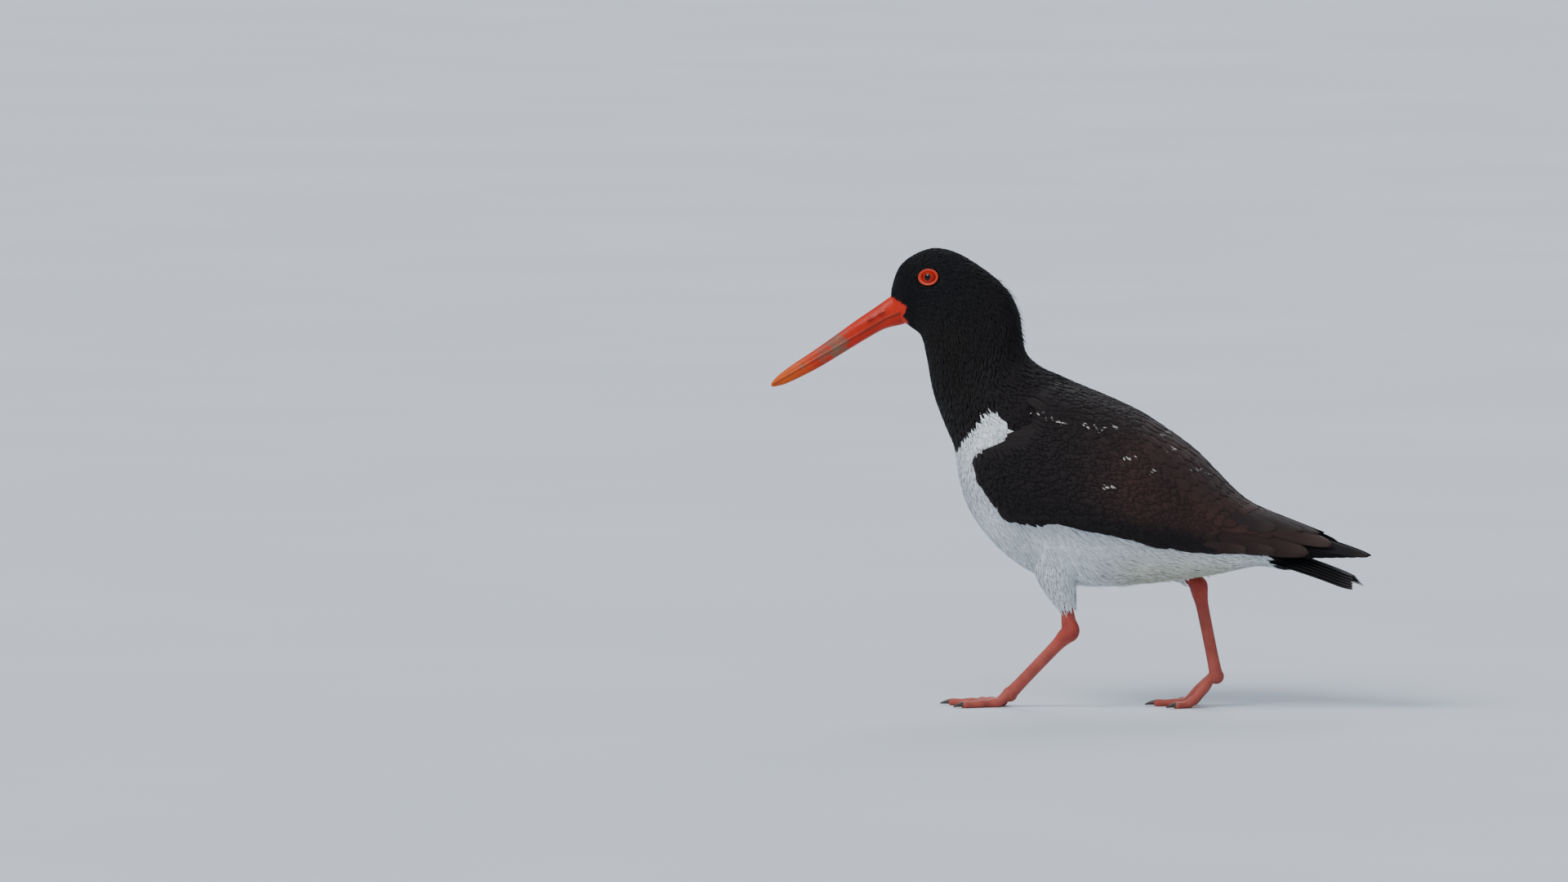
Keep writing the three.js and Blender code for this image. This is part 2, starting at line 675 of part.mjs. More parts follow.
function wingSolid() {
  const PAD_LOW = 2.6; // how far the pad under the feathers lies inside the envelope
  const PAD_SIDES = 18;
  const TIP_STEP = 9; // how much shorter each primary is than the next
  const rings = Array.from({ length: LAST_SECTION }, (_, u) =>
    Array.from({ length: PAD_SIDES }, (_, i) => {
      const v = (2 * Math.PI * i) / PAD_SIDES;
      return envelopePoint(u, v).addScaledVector(envelopeFrame(u, v).out, -PAD_LOW);
    }),
  );
  let made = solid(loft(rings)).intersect(prism(PAD_OUTLINE, -90, 0)).subtract(body);
  for (const row of WING_ROWS) {
    for (let i = 0; i < row.count; i++) {
      const share = i / (row.count - 1);
      const root = placeAt(...onRun(row.roots, share));
      const tip = placeAt(...onRun(row.ends, share));
      made = made.add(layVane({ root, tip, half: row.half }));
    }
  }
  for (const { root, tip } of SCAPULARS) {
    made = made.add(layVane({ root, tip, half: 7 }));
  }
  for (const { root, end, half } of TERTIALS) {
    const vane = { root: placeAt(...root), tip: placeAt(...end), half, rows: 5, point: 0.75 };
    made = made.add(layVane({ ...vane, columns: [-1, 0, 1] }));
  }
  const across = vec(0, -0.78, -0.62);
  const under = vec(-0.15, 0.61, -0.77); // from each primary to the one beneath it
  for (let i = 0; i < PRIMARIES; i++) {
    const shift = across.clone().multiplyScalar(1.2 * i).addScaledVector(under, 1.15 * i);
    made = made.add(
      straightVane({
        root: vec(106, -15, 103).add(shift),
        tip: vec(WING_TIP[0] - i * TIP_STEP, -3.6 - 0.6 * i, WING_TIP[1] + 1.6 * i + 0.6).add(shift),
        across,
        half: 5.4,
        rows: 5,
        point: 0.45,
      }),
    );
  }
  return made.intersect(prism(REACH_OUTLINE, -90, -GAP)).subtract(grownBody).subtract(tailRoom);
}

// Legs. Each is given by its hip side, its heel, the knuckle over its toes and the toes' heading.
const LEGS = {
  left: {
    thigh: [vec(4, -20, 96), vec(-2, -24, 78), vec(3.4, -24.4, 58.6)],
    thighRadii: [18, 13, 6],
    heel: vec(5.2, -23, 44),
    knuckleZ: 7,
    knuckleY: -13,
    ahead: -1,
    toeDrop: 8,
    heading: 0.06,
  },
  right: {
    thigh: [vec(34, 20, 100), vec(50, 22, 86), vec(63.5, 20.8, 72.8)],
    thighRadii: [18, 13, 6.2],
    heel: vec(70.2, 19.6, 67.6),
    knuckleZ: 17.2,
    knuckleY: 9,
    ahead: 1,
    toeDrop: 20,
    heading: -0.05,
  },
};

// The knuckle that the toes grow from, a tarsus away from the heel.
function knuckleOf(leg) {
  const dy = leg.knuckleY - leg.heel.y;
  const dz = leg.knuckleZ - leg.heel.z;
  const dx = Math.sqrt(TARSUS_LENGTH ** 2 - dy ** 2 - dz ** 2);
  return vec(leg.heel.x + leg.ahead * dx, leg.knuckleY, leg.knuckleZ);
}

function thighRings(leg) {
  const curve = new THREE.CatmullRomCurve3(leg.thigh);
  const COUNT = 8;
  return limb(
    Array.from({ length: COUNT + 1 }, (_, i) => {
      const t = i / COUNT;
      const radius = along(leg.thighRadii, 2 * t);
      return { at: curve.getPoint(t), front: radius, side: radius * 0.82 };
    }),
    16,
  );
}

function shankRings(leg) {
  const top = leg.thigh[2].clone().lerp(leg.thigh[1], 0.25);
  const knuckle = knuckleOf(leg);
  const place = (a, b, t) => a.clone().lerp(b, t);
  const heelUp = place(leg.heel, top, 0.3);
  const stations = [
    { at: top, front: 3.4, side: 3.1 },
    { at: leg.thigh[2].clone(), front: 3.4, side: 3.1 },
    { at: heelUp, front: 4.2, side: 3.9 },
    { at: leg.heel.clone(), front: HEEL_RADIUS, side: HEEL_RADIUS * 0.86 },
    { at: place(leg.heel, knuckle, 0.1), front: 4.6, side: 4.0 },
    { at: place(leg.heel, knuckle, 0.22), front: TARSUS_FRONT + 0.2, side: TARSUS_SIDE + 0.2 },
    { at: place(leg.heel, knuckle, 0.5), front: TARSUS_FRONT, side: TARSUS_SIDE },
    { at: place(leg.heel, knuckle, 0.8), front: TARSUS_FRONT, side: TARSUS_SIDE + 0.2 },
    { at: place(leg.heel, knuckle, 0.93), front: 3.8, side: 3.8 },
  ];
  return limb(stations, 12);
}

// One toe from the knuckle down to the floor and along it, and the claw at its end.
function toe(leg, knuckle, turn, length) {
  const HIGH = TOE_RADIUS - TOE_FLAT;
  const yaw = leg.heading + turn;
  const dir = vec(-Math.cos(yaw), Math.sin(yaw), 0);
  const drop = leg.toeDrop;
  const point = (s) => {
    const t = smooth(s / drop);
    const z = knuckle.z + (HIGH * (1 - 0.3 * (s / length)) - knuckle.z) * t;
    return knuckle.clone().setZ(z).addScaledVector(dir, s);
  };
  const STEPS = 7;
  const stations = Array.from({ length: STEPS + 1 }, (_, i) => {
    const s = (length * i) / STEPS;
    const pad = 1 + 0.1 * Math.cos((i * 2 * Math.PI) / 3);
    const radius = TOE_RADIUS * (1 - 0.3 * (s / length)) * pad;
    return { at: point(s), front: radius, side: radius * 1.12 };
  });
  const tip = point(length);
  const CLAW_STEPS = 3;
  const clawStations = Array.from({ length: CLAW_STEPS + 1 }, (_, i) => {
    const t = i / CLAW_STEPS;
    const at = tip.clone().addScaledVector(dir, GAP + CLAW_LENGTH * t);
    at.z = CLAW_HIGH - CLAW_FALL * t * t;
    const radius = (CLAW_RADIUS - CLAW_POINT) * (1 - t) + CLAW_POINT;
    return { at, front: radius, side: radius };
  });
  return {
    flesh: solid(loft(limb(stations, 8, vec(0, 0, 1)))),
    claw: solid(loft(limb(clawStations, 7, vec(0, 0, 1)))),
    webEnd: point(length * WEB_REACH),
  };
}

function footNodes(side, leg) {
  const HUB_RADIUS = 4.4;
  const knuckle = knuckleOf(leg);
  const outward = side === "left" ? -1 : 1;
  const toes = {
    middle: toe(leg, knuckle, 0, TOE_MIDDLE),
    outer: toe(leg, knuckle, outward * TOE_SPREAD, TOE_OUTER),
    inner: toe(leg, knuckle, -outward * TOE_SPREAD, TOE_INNER),
  };
  const hub = new THREE.SphereGeometry(HUB_RADIUS, 12, 8).rotateX(Math.PI / 2);
  let foot = solid(hub.translate(...knuckle)).add(web([knuckle, toes.middle.webEnd, toes.outer.webEnd]));
  for (const t of Object.values(toes)) foot = foot.add(t.flesh);
  foot = foot.subtract(solid(loft(grown(shankRings(leg), GAP)))).subtract(FLOOR_CUT);
  const claws = Object.entries(toes).map(([name, t]) =>
    mesh(`claw_${side}_${name}`, t.claw, CLAW),
  );
  return [mesh(`foot_${side}`, foot, SKIN), ...claws];
}

// The small web between the middle and the outer toe, a thin three-cornered plate.
function web(corners) {
  const HALF_THICK = 0.7;
  const face = (s) => corners.map((p) => p.clone().add(vec(0, 0, s * HALF_THICK)));
  return solid(loft([face(-1), face(1)]));
}

// Materials, from the colours in life.
const standard = (color, roughness) =>
  new THREE.MeshStandardMaterial({ color, roughness, metalness: 0 });
const BLACK = standard(0x15161a, 0.8);
const BROWN = standard(0x2b211f, 0.8);
const WHITE = standard(0xe4e6e4, 0.85);
const HORN = standard(0xd8330a, 0.45);
const SKIN = standard(0xb43a30, 0.55);
const CLAW = standard(0x2a2422, 0.5);
const EYE_RED = standard(0xc62408, 0.2);

function build() {
  const bird = new THREE.Group();
  bird.name = "oystercatcher";
  const eye = eyeSolids();
  const sockets = eye.socket.add(mirrored(eye.socket));
  const billRoom = solid(loft(grown(billRings, GAP)));
  const head = body.intersect(halfSpace(...NECK_CUT, GAP / 2)).subtract(sockets).subtract(billRoom);
  const belowHead = body.subtract(halfSpace(...NECK_CUT, -GAP / 2));
  bird.add(...bill());
  bird.add(mesh("head", head, BLACK));
  bird.add(mesh("neck", belowHead.intersect(halfSpace(...BREAST_CUT, GAP / 2)), BLACK));
  const trunk = body.subtract(halfSpace(...BREAST_CUT, -GAP / 2));
  bird.add(mesh("torso", trunk.subtract(halfSpace(...BACK_CUT, -GAP / 2)), WHITE));
  bird.add(mesh("back", trunk.intersect(halfSpace(...BACK_CUT, GAP / 2)), BLACK));
  bird.add(mesh("eye_left", eye.ball, EYE_RED));
  bird.add(mesh("eye_right", mirrored(eye.ball), EYE_RED));
  bird.add(mesh("eyelid_left", eye.lid, HORN));
  bird.add(mesh("eyelid_right", mirrored(eye.lid), HORN));
  bird.add(mesh("tail", tailSolid(), BLACK));
  const wing = wingSolid();
  bird.add(mesh("wing_left", wing, BROWN));
  bird.add(mesh("wing_right", mirrored(wing), BROWN));
  for (const [side, leg] of Object.entries(LEGS)) {
    const shank = shankRings(leg);
    const room = solid(loft(grown(shank, GAP))).add(grownBody);
    bird.add(mesh(`thigh_${side}`, solid(loft(thighRings(leg))).subtract(room), WHITE));
    bird.add(mesh(`leg_${side}`, solid(loft(shank)).subtract(grownBody), SKIN));
    bird.add(...footNodes(side, leg));
  }
  return bird;
}

export default build();
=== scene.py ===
"""A life-size oystercatcher in a striding pose: its skin, feathers, bill, eyes and legs.

Lengths are in millimetres until a mesh is made, and in metres after that.
The bird faces -X, its left side is at -Y and the floor is z = 0.
"""

import math

import bmesh
import bpy
import numpy as np
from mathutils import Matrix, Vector


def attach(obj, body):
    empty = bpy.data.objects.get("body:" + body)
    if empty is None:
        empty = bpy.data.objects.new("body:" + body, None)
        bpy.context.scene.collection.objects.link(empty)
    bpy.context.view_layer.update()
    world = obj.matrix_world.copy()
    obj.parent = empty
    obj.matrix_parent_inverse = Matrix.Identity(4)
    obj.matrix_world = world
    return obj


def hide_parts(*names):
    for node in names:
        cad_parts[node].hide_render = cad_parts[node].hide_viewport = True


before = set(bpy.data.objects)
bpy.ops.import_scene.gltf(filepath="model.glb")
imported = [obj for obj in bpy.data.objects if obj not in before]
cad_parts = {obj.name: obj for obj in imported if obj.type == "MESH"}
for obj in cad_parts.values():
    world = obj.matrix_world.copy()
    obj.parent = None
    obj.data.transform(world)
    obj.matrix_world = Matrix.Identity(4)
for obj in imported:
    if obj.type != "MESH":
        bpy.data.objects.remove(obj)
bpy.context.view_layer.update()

MM = 0.001
SEED = 11
rng = np.random.default_rng(SEED)

# Body sections from the bill's base to inside the tail, as in the solids:
# back x and z, belly x and z, half width, and where it is widest.
BODY_SECTIONS = np.array([
    [-102.6, 229.2, -94, 214.2, 6.2, 0.5], [-101.4, 237, -89, 211.2, 7.4, 0.5],
    [-97.2, 247, -84.8, 207.6, 9.4, 0.55], [-89, 253.6, -82.6, 202, 12.4, 0.62],
    [-78, 257.4, -81.6, 196, 14.8, 0.64], [-66, 255.3, -80.5, 190, 16.6, 0.62],
    [-54, 249, -79.6, 184, 18.4, 0.58], [-43, 241.2, -78.4, 178, 20.2, 0.54],
    [-34, 231.6, -76.8, 172.4, 21.6, 0.52], [-28.8, 219.5, -74.6, 166.4, 23, 0.5],
    [-27.4, 208, -71.8, 159.8, 25.4, 0.48], [-25, 198.4, -68.4, 152.3, 28.8, 0.46],
    [-17, 191.2, -65, 145.2, 33.2, 0.44], [-4, 185.6, -63.5, 136, 38, 0.44],
    [9, 179, -61.5, 125, 42, 0.44], [24, 171, -57, 112, 45, 0.45],
    [39, 161.5, -48.5, 98.6, 46.5, 0.46], [53, 150.5, -36, 85.6, 46.5, 0.47],
    [66, 139, -19, 74.6, 45, 0.48], [77, 128.6, 0, 69.2, 42, 0.48],
    [87, 120, 21, 67.8, 37.5, 0.48], [96, 112.5, 43, 69.6, 31.5, 0.48],
    [103.5, 106, 65, 72.4, 24.5, 0.48], [109, 100.5, 87, 76, 18, 0.48],
    [113.4, 96.6, 106, 80.2, 12.8, 0.46], [121, 92, 117, 79.8, 11.4, 0.42],
    [128, 87.6, 125, 78.4, 10.4, 0.4], [134, 83.8, 132.6, 79.4, 7.4, 0.4],
])
# The folded wings as one smooth envelope, with the same kind of section.
ENVELOPE_SECTIONS = np.array([
    [-14, 187.6, -62, 140, 34, 0.44], [-3, 184.6, -62.4, 131, 42.5, 0.44],
    [9.5, 179.6, -60, 121, 47.5, 0.44], [25, 173.4, -54, 108, 51, 0.45],
    [42, 165.4, -44, 95, 53, 0.46], [59, 154.6, -28, 84, 53, 0.47],
    [73.5, 143.6, -8, 78, 51, 0.48], [85.5, 131.6, 14, 76, 47, 0.48],
    [96, 121.6, 38, 76, 41, 0.46], [106, 115.2, 62, 77, 34, 0.44],
    [119, 110, 86, 78.5, 27, 0.42], [137, 103, 112, 80.5, 20, 0.4],
    [156, 95.4, 138, 82, 13, 0.4], [171.8, 86.8, 164, 83, 5, 0.4],
])
FULLNESS = 2.15
EYE = (-78.2, 241.6)
EYE_RADIUS = 5.4
LID_LONG = 6.05
LID_TALL = 4.75
WING_TIP = np.array([171.8, 86.8])
LEFT, RIGHT = -1, 1
SIDES = ((LEFT, "left"), (RIGHT, "right"))

# Where black feathers end and white ones begin, in side view from the breast to the rump.
MARKING_LINE = np.array([
    [-80, 142.5], [-64, 143.6], [-58.6, 144.6], [-54.4, 148.4], [-50.6, 154.2], [-46, 160],
    [-41.6, 164], [-36.2, 166.8], [-31.4, 164.6], [-26.6, 157.4], [-21.8, 151.6], [-10, 140],
    [40, 118], [98, 99], [111, 99.5], [119, 92], [119.5, 70],
])


def along(table, u):
    """Rows of a table at real-numbered places, on a Catmull-Rom spline, straight past its ends."""
    u = np.asarray(u, float)
    last = len(table) - 1
    inside = np.clip(u, 0, last)
    i = np.minimum(inside.astype(int), last - 1)
    t = (inside - i)[..., None]
    a = table[np.maximum(i - 1, 0)]
    b = table[i]
    c = table[i + 1]
    d = table[np.minimum(i + 2, last)]
    mid = b + 0.5 * t * (c - a + t * (2 * a - 5 * b + 4 * c - d + t * (3 * (b - c) + d - a)))
    over = (u - inside)[..., None]
    slope = np.where(over > 0, table[last] - table[last - 1], table[1] - table[0])
    return mid + over * slope


def slopes(surface, u, v):
    """Steps along and round a surface, and the unit way across both."""
    step = 0.03
    pu = (surface.point(u + step, v) - surface.point(u - step, v)) / (2 * step)
    pv = (surface.point(u, v + step) - surface.point(u, v - step)) / (2 * step)
    out = np.cross(pv, pu)
    out /= np.linalg.norm(out, axis=-1, keepdims=True) + 1e-9
    return pu, pv, out


class Loft:
    """A closed surface through oval sections: u runs along it, v from its back round its left."""

    def __init__(self, sections, fullness=FULLNESS):
        self.sections = np.asarray(sections, float)
        self.fullness = fullness
        self.last = len(self.sections) - 1

    def point(self, u, v):
        row = along(self.sections, u)
        power = 2 / self.fullness
        rise = np.sign(np.cos(v)) * np.abs(np.cos(v)) ** power
        side = np.sign(np.sin(v)) * np.abs(np.sin(v)) ** power
        wide = row[..., 5]
        share = np.where(rise > 0, wide + (1 - wide) * rise, wide * (1 + rise))
        x = row[..., 2] + (row[..., 0] - row[..., 2]) * share
        z = row[..., 3] + (row[..., 1] - row[..., 3]) * share
        y = -np.maximum(row[..., 4], 0.4) * side
        return np.stack([x, y, z], -1)

    def lie(self, u, v):
        """Steps along and round the surface, and the unit way straight out of it."""
        return slopes(self, u, v)

    def place(self, x, z):
        """Section and angle of the place on the left side that shows at (x, z) from the side."""
        us = np.linspace(0, self.last, self.last * 24 + 1)
        rows = along(self.sections, us)
        bx, bz, vx, vz = rows[:, 0], rows[:, 1], rows[:, 2], rows[:, 3]
        length = np.hypot(bx - vx, bz - vz)
        off = ((x - vx) * (bz - vz) - (z - vz) * (bx - vx)) / length
        cross = np.nonzero((off[:-1] >= 0) & (off[1:] < 0))[0]
        k = cross[0] if len(cross) else len(us) - 2
        t = np.clip(off[k] / (off[k] - off[k + 1] + 1e-9), 0, 1)
        u = us[k] + t * (us[k + 1] - us[k])
        row = along(self.sections, u)
        span = row[:2] - row[2:4]
        share = np.clip(((x - row[2]) * span[0] + (z - row[3]) * span[1]) / (span @ span), 0, 1)
        wide = row[5]
        rise = (share - wide) / (1 - wide) if share > wide else share / wide - 1
        return u, math.acos(np.sign(rise) * abs(rise) ** (self.fullness / 2))


class Tube:
    """A closed surface round a bent line, of oval sections: u along it, v round it."""

    def __init__(self, centres, fronts, sides, ahead=(-1, 0, 0)):
        self.table = np.column_stack([centres, fronts, sides])
        self.last = len(centres) - 1
        self.ahead = np.array(ahead, float)

    def point(self, u, v):
        u, v = np.broadcast_arrays(np.asarray(u, float), np.asarray(v, float))
        step = 0.05
        row = along(self.table, u)
        way = along(self.table, u + step)[..., :3] - along(self.table, u - step)[..., :3]
        way /= np.linalg.norm(way, axis=-1, keepdims=True)
        side = np.cross(np.broadcast_to(self.ahead, way.shape), way)
        side /= np.linalg.norm(side, axis=-1, keepdims=True)
        front = np.cross(way, side)
        return (
            row[..., :3]
            + front * (row[..., 3] * np.cos(v))[..., None]
            + side * (row[..., 4] * np.sin(v))[..., None]
        )

    def lie(self, u, v):
        pu, pv, out = slopes(self, u, v)
        middle = along(self.table, u)[..., :3]
        flip = np.sum(out * (self.point(u, v) - middle), -1, keepdims=True) < 0
        return pu, pv, np.where(flip, -out, out)


# Meshes


def link_object(name, data):
    obj = bpy.data.objects.new(name, data)
    bpy.context.scene.collection.objects.link(obj)
    return obj


def new_object(name, points, faces):
    """A mesh object from millimetre points and a list or array of faces."""
    mesh = bpy.data.meshes.new(name)
    points = np.asarray(points, np.float64) * MM
    if isinstance(faces, np.ndarray):
        mesh.vertices.add(len(points))
        mesh.vertices.foreach_set("co", points.astype(np.float32).ravel())
        mesh.loops.add(faces.size)
        mesh.loops.foreach_set("vertex_index", faces.astype(np.int32).ravel())
        mesh.polygons.add(len(faces))
        width = faces.shape[1]
        mesh.polygons.foreach_set("loop_start", np.arange(0, faces.size, width, dtype=np.int32))
        mesh.update(calc_edges=True)
    else:
        mesh.from_pydata(points.tolist(), [], faces)
    mesh.validate()
    mesh.polygons.foreach_set("use_smooth", np.full(len(mesh.polygons), True))
    return link_object(name, mesh)


def add_colours(obj, name, colours):
    """A point colour layer from an array of rgb rows."""
    layer = obj.data.color_attributes.new(name, "FLOAT_COLOR", "POINT")
    rgba = np.ones((len(colours), 4), np.float32)
    rgba[:, :3] = colours
    layer.data.foreach_set("color", rgba.ravel())


def declare(obj, material, slot, *nodes):
    """A piece's material, what it rides on and the nodes it stands for; slot, the finish it would
    take, is not used.
    """
    obj.data.materials.append(material)
    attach(obj, "root")
    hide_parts(*nodes)


def add_vectors(obj, name, vectors):
    layer = obj.data.attributes.new(name, "FLOAT_VECTOR", "POINT")
    layer.data.foreach_set("vector", np.asarray(vectors, np.float32).ravel())


def add_point_uv(obj, name, uv):
    """A UV map from one (u, v) per point."""
    loops = np.zeros(len(obj.data.loops), np.int32)
    obj.data.loops.foreach_get("vertex_index", loops)
    layer = obj.data.uv_layers.new(name=name)
    layer.data.foreach_set("uv", np.asarray(uv, np.float32)[loops].ravel())


def angles(count):
    """Evenly spaced angles of a full turn."""
    return np.arange(count) * 2 * math.pi / count


def surface_rings(surface, us, sides, offset=0.0):
    """Points of rings on a surface, moved out by an offset that may differ along it."""
    u, v = np.meshgrid(us, angles(sides), indexing="ij")
    off = np.broadcast_to(np.asarray(offset, float), us.shape)[:, None, None]
    return surface.point(u, v) + surface.lie(u, v)[2] * off


def ring_faces(rings, sides):
    """Faces of a closed tube of rings of points, with both ends filled."""
    faces = []
    for r in range(rings - 1):
        for i in range(sides):
            a, b = r * sides + i, r * sides + (i + 1) % sides
            faces.append((a, b, b + sides, a + sides))
    faces.append(tuple(range(sides - 1, -1, -1)))
    faces.append(tuple(range((rings - 1) * sides, rings * sides)))
    return faces


def joined(name, objects):
    """Several closed meshes as one object, not yet fused."""
    points, faces, base = [], [], 0
    for o in objects:
        points.append(points_of(o))
        faces += [tuple(base + i for i in p.vertices) for p in o.data.polygons]
        base += len(o.data.vertices)
        bpy.data.objects.remove(o)
    return new_object(name, np.concatenate(points), faces)


def apply_modifiers(obj):
    dg = bpy.context.evaluated_depsgraph_get()
    mesh = bpy.data.meshes.new_from_object(obj.evaluated_get(dg))
    old = obj.data
    obj.modifiers.clear()
    obj.data = mesh
    bpy.data.meshes.remove(old)
    mesh.name = obj.name
    mesh.polygons.foreach_set("use_smooth", np.full(len(mesh.polygons), True))
    return obj


def fused(name, objects, voxel, smoothing):
    """Overlapping closed meshes fused to one skin with soft joints."""
    obj = joined(name, objects)
    remesh = obj.modifiers.new("fuse", "REMESH")
    remesh.mode = "VOXEL"
    remesh.voxel_size = voxel * MM
    soft = obj.modifiers.new("soften", "SMOOTH")
    soft.factor = 0.5
    soft.iterations = smoothing
    return apply_modifiers(obj)


def points_of(obj):
    co = np.zeros(len(obj.data.vertices) * 3)
    obj.data.vertices.foreach_get("co", co)
    return co.reshape(-1, 3) / MM


# Feathers


def vane_width(t, point, start=0.5, taper=0.5):
    """Half width along a feather as a share of its widest; taper 0.5 gives a rounded end."""
    t = np.asarray(t, float)
    rise = start + (1 - start) * smooth(t / 0.42)
    reach = np.clip((t - point) / (1.0 - point), 0, 1)
    return rise * np.maximum(np.maximum(1 - reach**2, 0) ** taper, 0.1)


def smooth(t):
    t = np.clip(t, 0, 1)
    return t * t * (3 - 2 * t)


def spaced(rows):
    """Places along a feather, closer together near its end."""
    return 1 - (1 - np.linspace(0, 1, rows + 1)) ** 1.4


def vane_faces(count, nt, na):
    """Faces of closed vanes whose points are upper then under grids of nt by na."""
    grid = nt * na
    faces = []
    for r in range(nt - 1):
        for i in range(na - 1):
            a = r * na + i
            b, c, d = a + 1, a + na, a + na + 1
            faces.append((a, c, d, b))
            faces.append((a + grid, b + grid, d + grid, c + grid))
        first, last = r * na, (r + 1) * na - 1
        faces.append((first, first + grid, first + na + grid, first + na))
        faces.append((last, last + na, last + na + grid, last + grid))
    for i in range(na - 1):
        end = grid - na + i
        faces.append((i, i + 1, i + 1 + grid, i + grid))
        faces.append((end, end + grid, end + 1 + grid, end + 1))
    one = np.array(faces, np.int64)
    return (one[None] + (np.arange(count) * 2 * grid)[:, None, None]).reshape(-1, 4)


def rates(way, pu, pv):
    """How fast u and v change along a way on a surface."""
    uu, uv, vv = (np.sum(p * q, -1) for p, q in ((pu, pu), (pu, pv), (pv, pv)))
    det = uu * vv - uv * uv + 1e-9
    wu, wv = np.sum(way * pu, -1), np.sum(way * pv, -1)
    return (wu * vv - wv * uv) / det, (wv * uu - wu * uv) / det


def closed(upper, out, thick, t):
    """Upper and under grids of feathers, which get thinner towards their ends."""
    under = upper - out * (thick * (1 - 0.45 * t))[None, :, None, None]
    return np.stack([upper, under], 1)


def lay_vanes(
    surface, u, v, turn, length, half, low, high,
    *, rows, columns, camber, thick, point, start, power, taper=0.5,
):
    """Grids of points of feathers that lie on a surface.

    turn is the angle from the surface's own length towards larger v, low and high are the
    heights of root and tip over the surface, and the rest of the shape is the same for all.
    Gives points (count, 2, nt, na, 3), with the upper side first.
    """
    t = spaced(rows)
    a = np.linspace(-1, 1, columns)
    u, v, turn, length, half, low, high = (
        np.broadcast_to(np.asarray(q, float), np.shape(u))
        for q in (u, v, turn, length, half, low, high)
    )
    pu, pv, out = surface.lie(u, v)
    ahead = pu / np.linalg.norm(pu, axis=-1, keepdims=True)
    round_ = np.cross(out, ahead)
    round_ *= np.sign(np.sum(round_ * pv, -1, keepdims=True))
    way = ahead * np.cos(turn)[:, None] + round_ * np.sin(turn)[:, None]
    side = round_ * np.cos(turn)[:, None] - ahead * np.sin(turn)[:, None]
    (du, dv), (eu, ev) = rates(way, pu, pv), rates(side, pu, pv)
    width = vane_width(t, point, start, taper)
    reach = length[:, None] * t[None]
    across = half[:, None, None] * width[None, :, None] * a[None, None, :]
    gu = u[:, None, None] + du[:, None, None] * reach[:, :, None] + eu[:, None, None] * across
    gv = v[:, None, None] + dv[:, None, None] * reach[:, :, None] + ev[:, None, None] * across
    base = surface.point(gu, gv)
    middle = surface.lie(gu[:, :, columns // 2], gv[:, :, columns // 2])[2][:, :, None]
    rise = low[:, None] + (high - low)[:, None] * t[None] ** power
    off = rise[:, :, None] + camber * (1 - a**2)[None, None]
    return closed(base + middle * off[..., None], middle, thick, t)


def frayed(count, t, columns, reach):
    """Uneven steps along each feather near its end, as where its barbs part."""
    step = rng.uniform(-1, 1, (count, 1, columns)) * smooth((t - 0.72) / 0.28)[None, :, None]
    return (step * reach)[..., None]


def straight_vanes(
    root, tip, across, half, *, rows, columns, point, thick, camber=0.3, sag=0.0
):
    """Grids of points of feathers along straight or slightly sagging lines."""
    t = spaced(rows)
    a = np.linspace(-1, 1, columns)
    root, tip, across = (np.atleast_2d(np.asarray(q, float)) for q in (root, tip, across))
    way = tip - root
    lengths = np.linalg.norm(way, axis=-1, keepdims=True)
    side = across - way * (np.sum(across * way, -1, keepdims=True) / lengths**2)
    side /= np.linalg.norm(side, axis=-1, keepdims=True)
    out = np.cross(side, way)
    out /= np.linalg.norm(out, axis=-1, keepdims=True)
    out *= np.where(out[:, 2:] < 0, -1, 1)
    width = vane_width(t, point, 0.55)
    spread = np.asarray(half)[:, None, None] * width[None, :, None] * a[None, None]
    sag = sag * 4 * t * (1 - t)
    off = camber * (1 - a**2)[None, :] + sag[:, None]
    upper = (
        root[:, None, None]
        + way[:, None, None] * t[None, :, None, None]
        + side[:, None, None] * spread[..., None]
        + out[:, None, None] * off[None, :, :, None]
    )
    return closed(upper, out[:, None, None], thick, t)


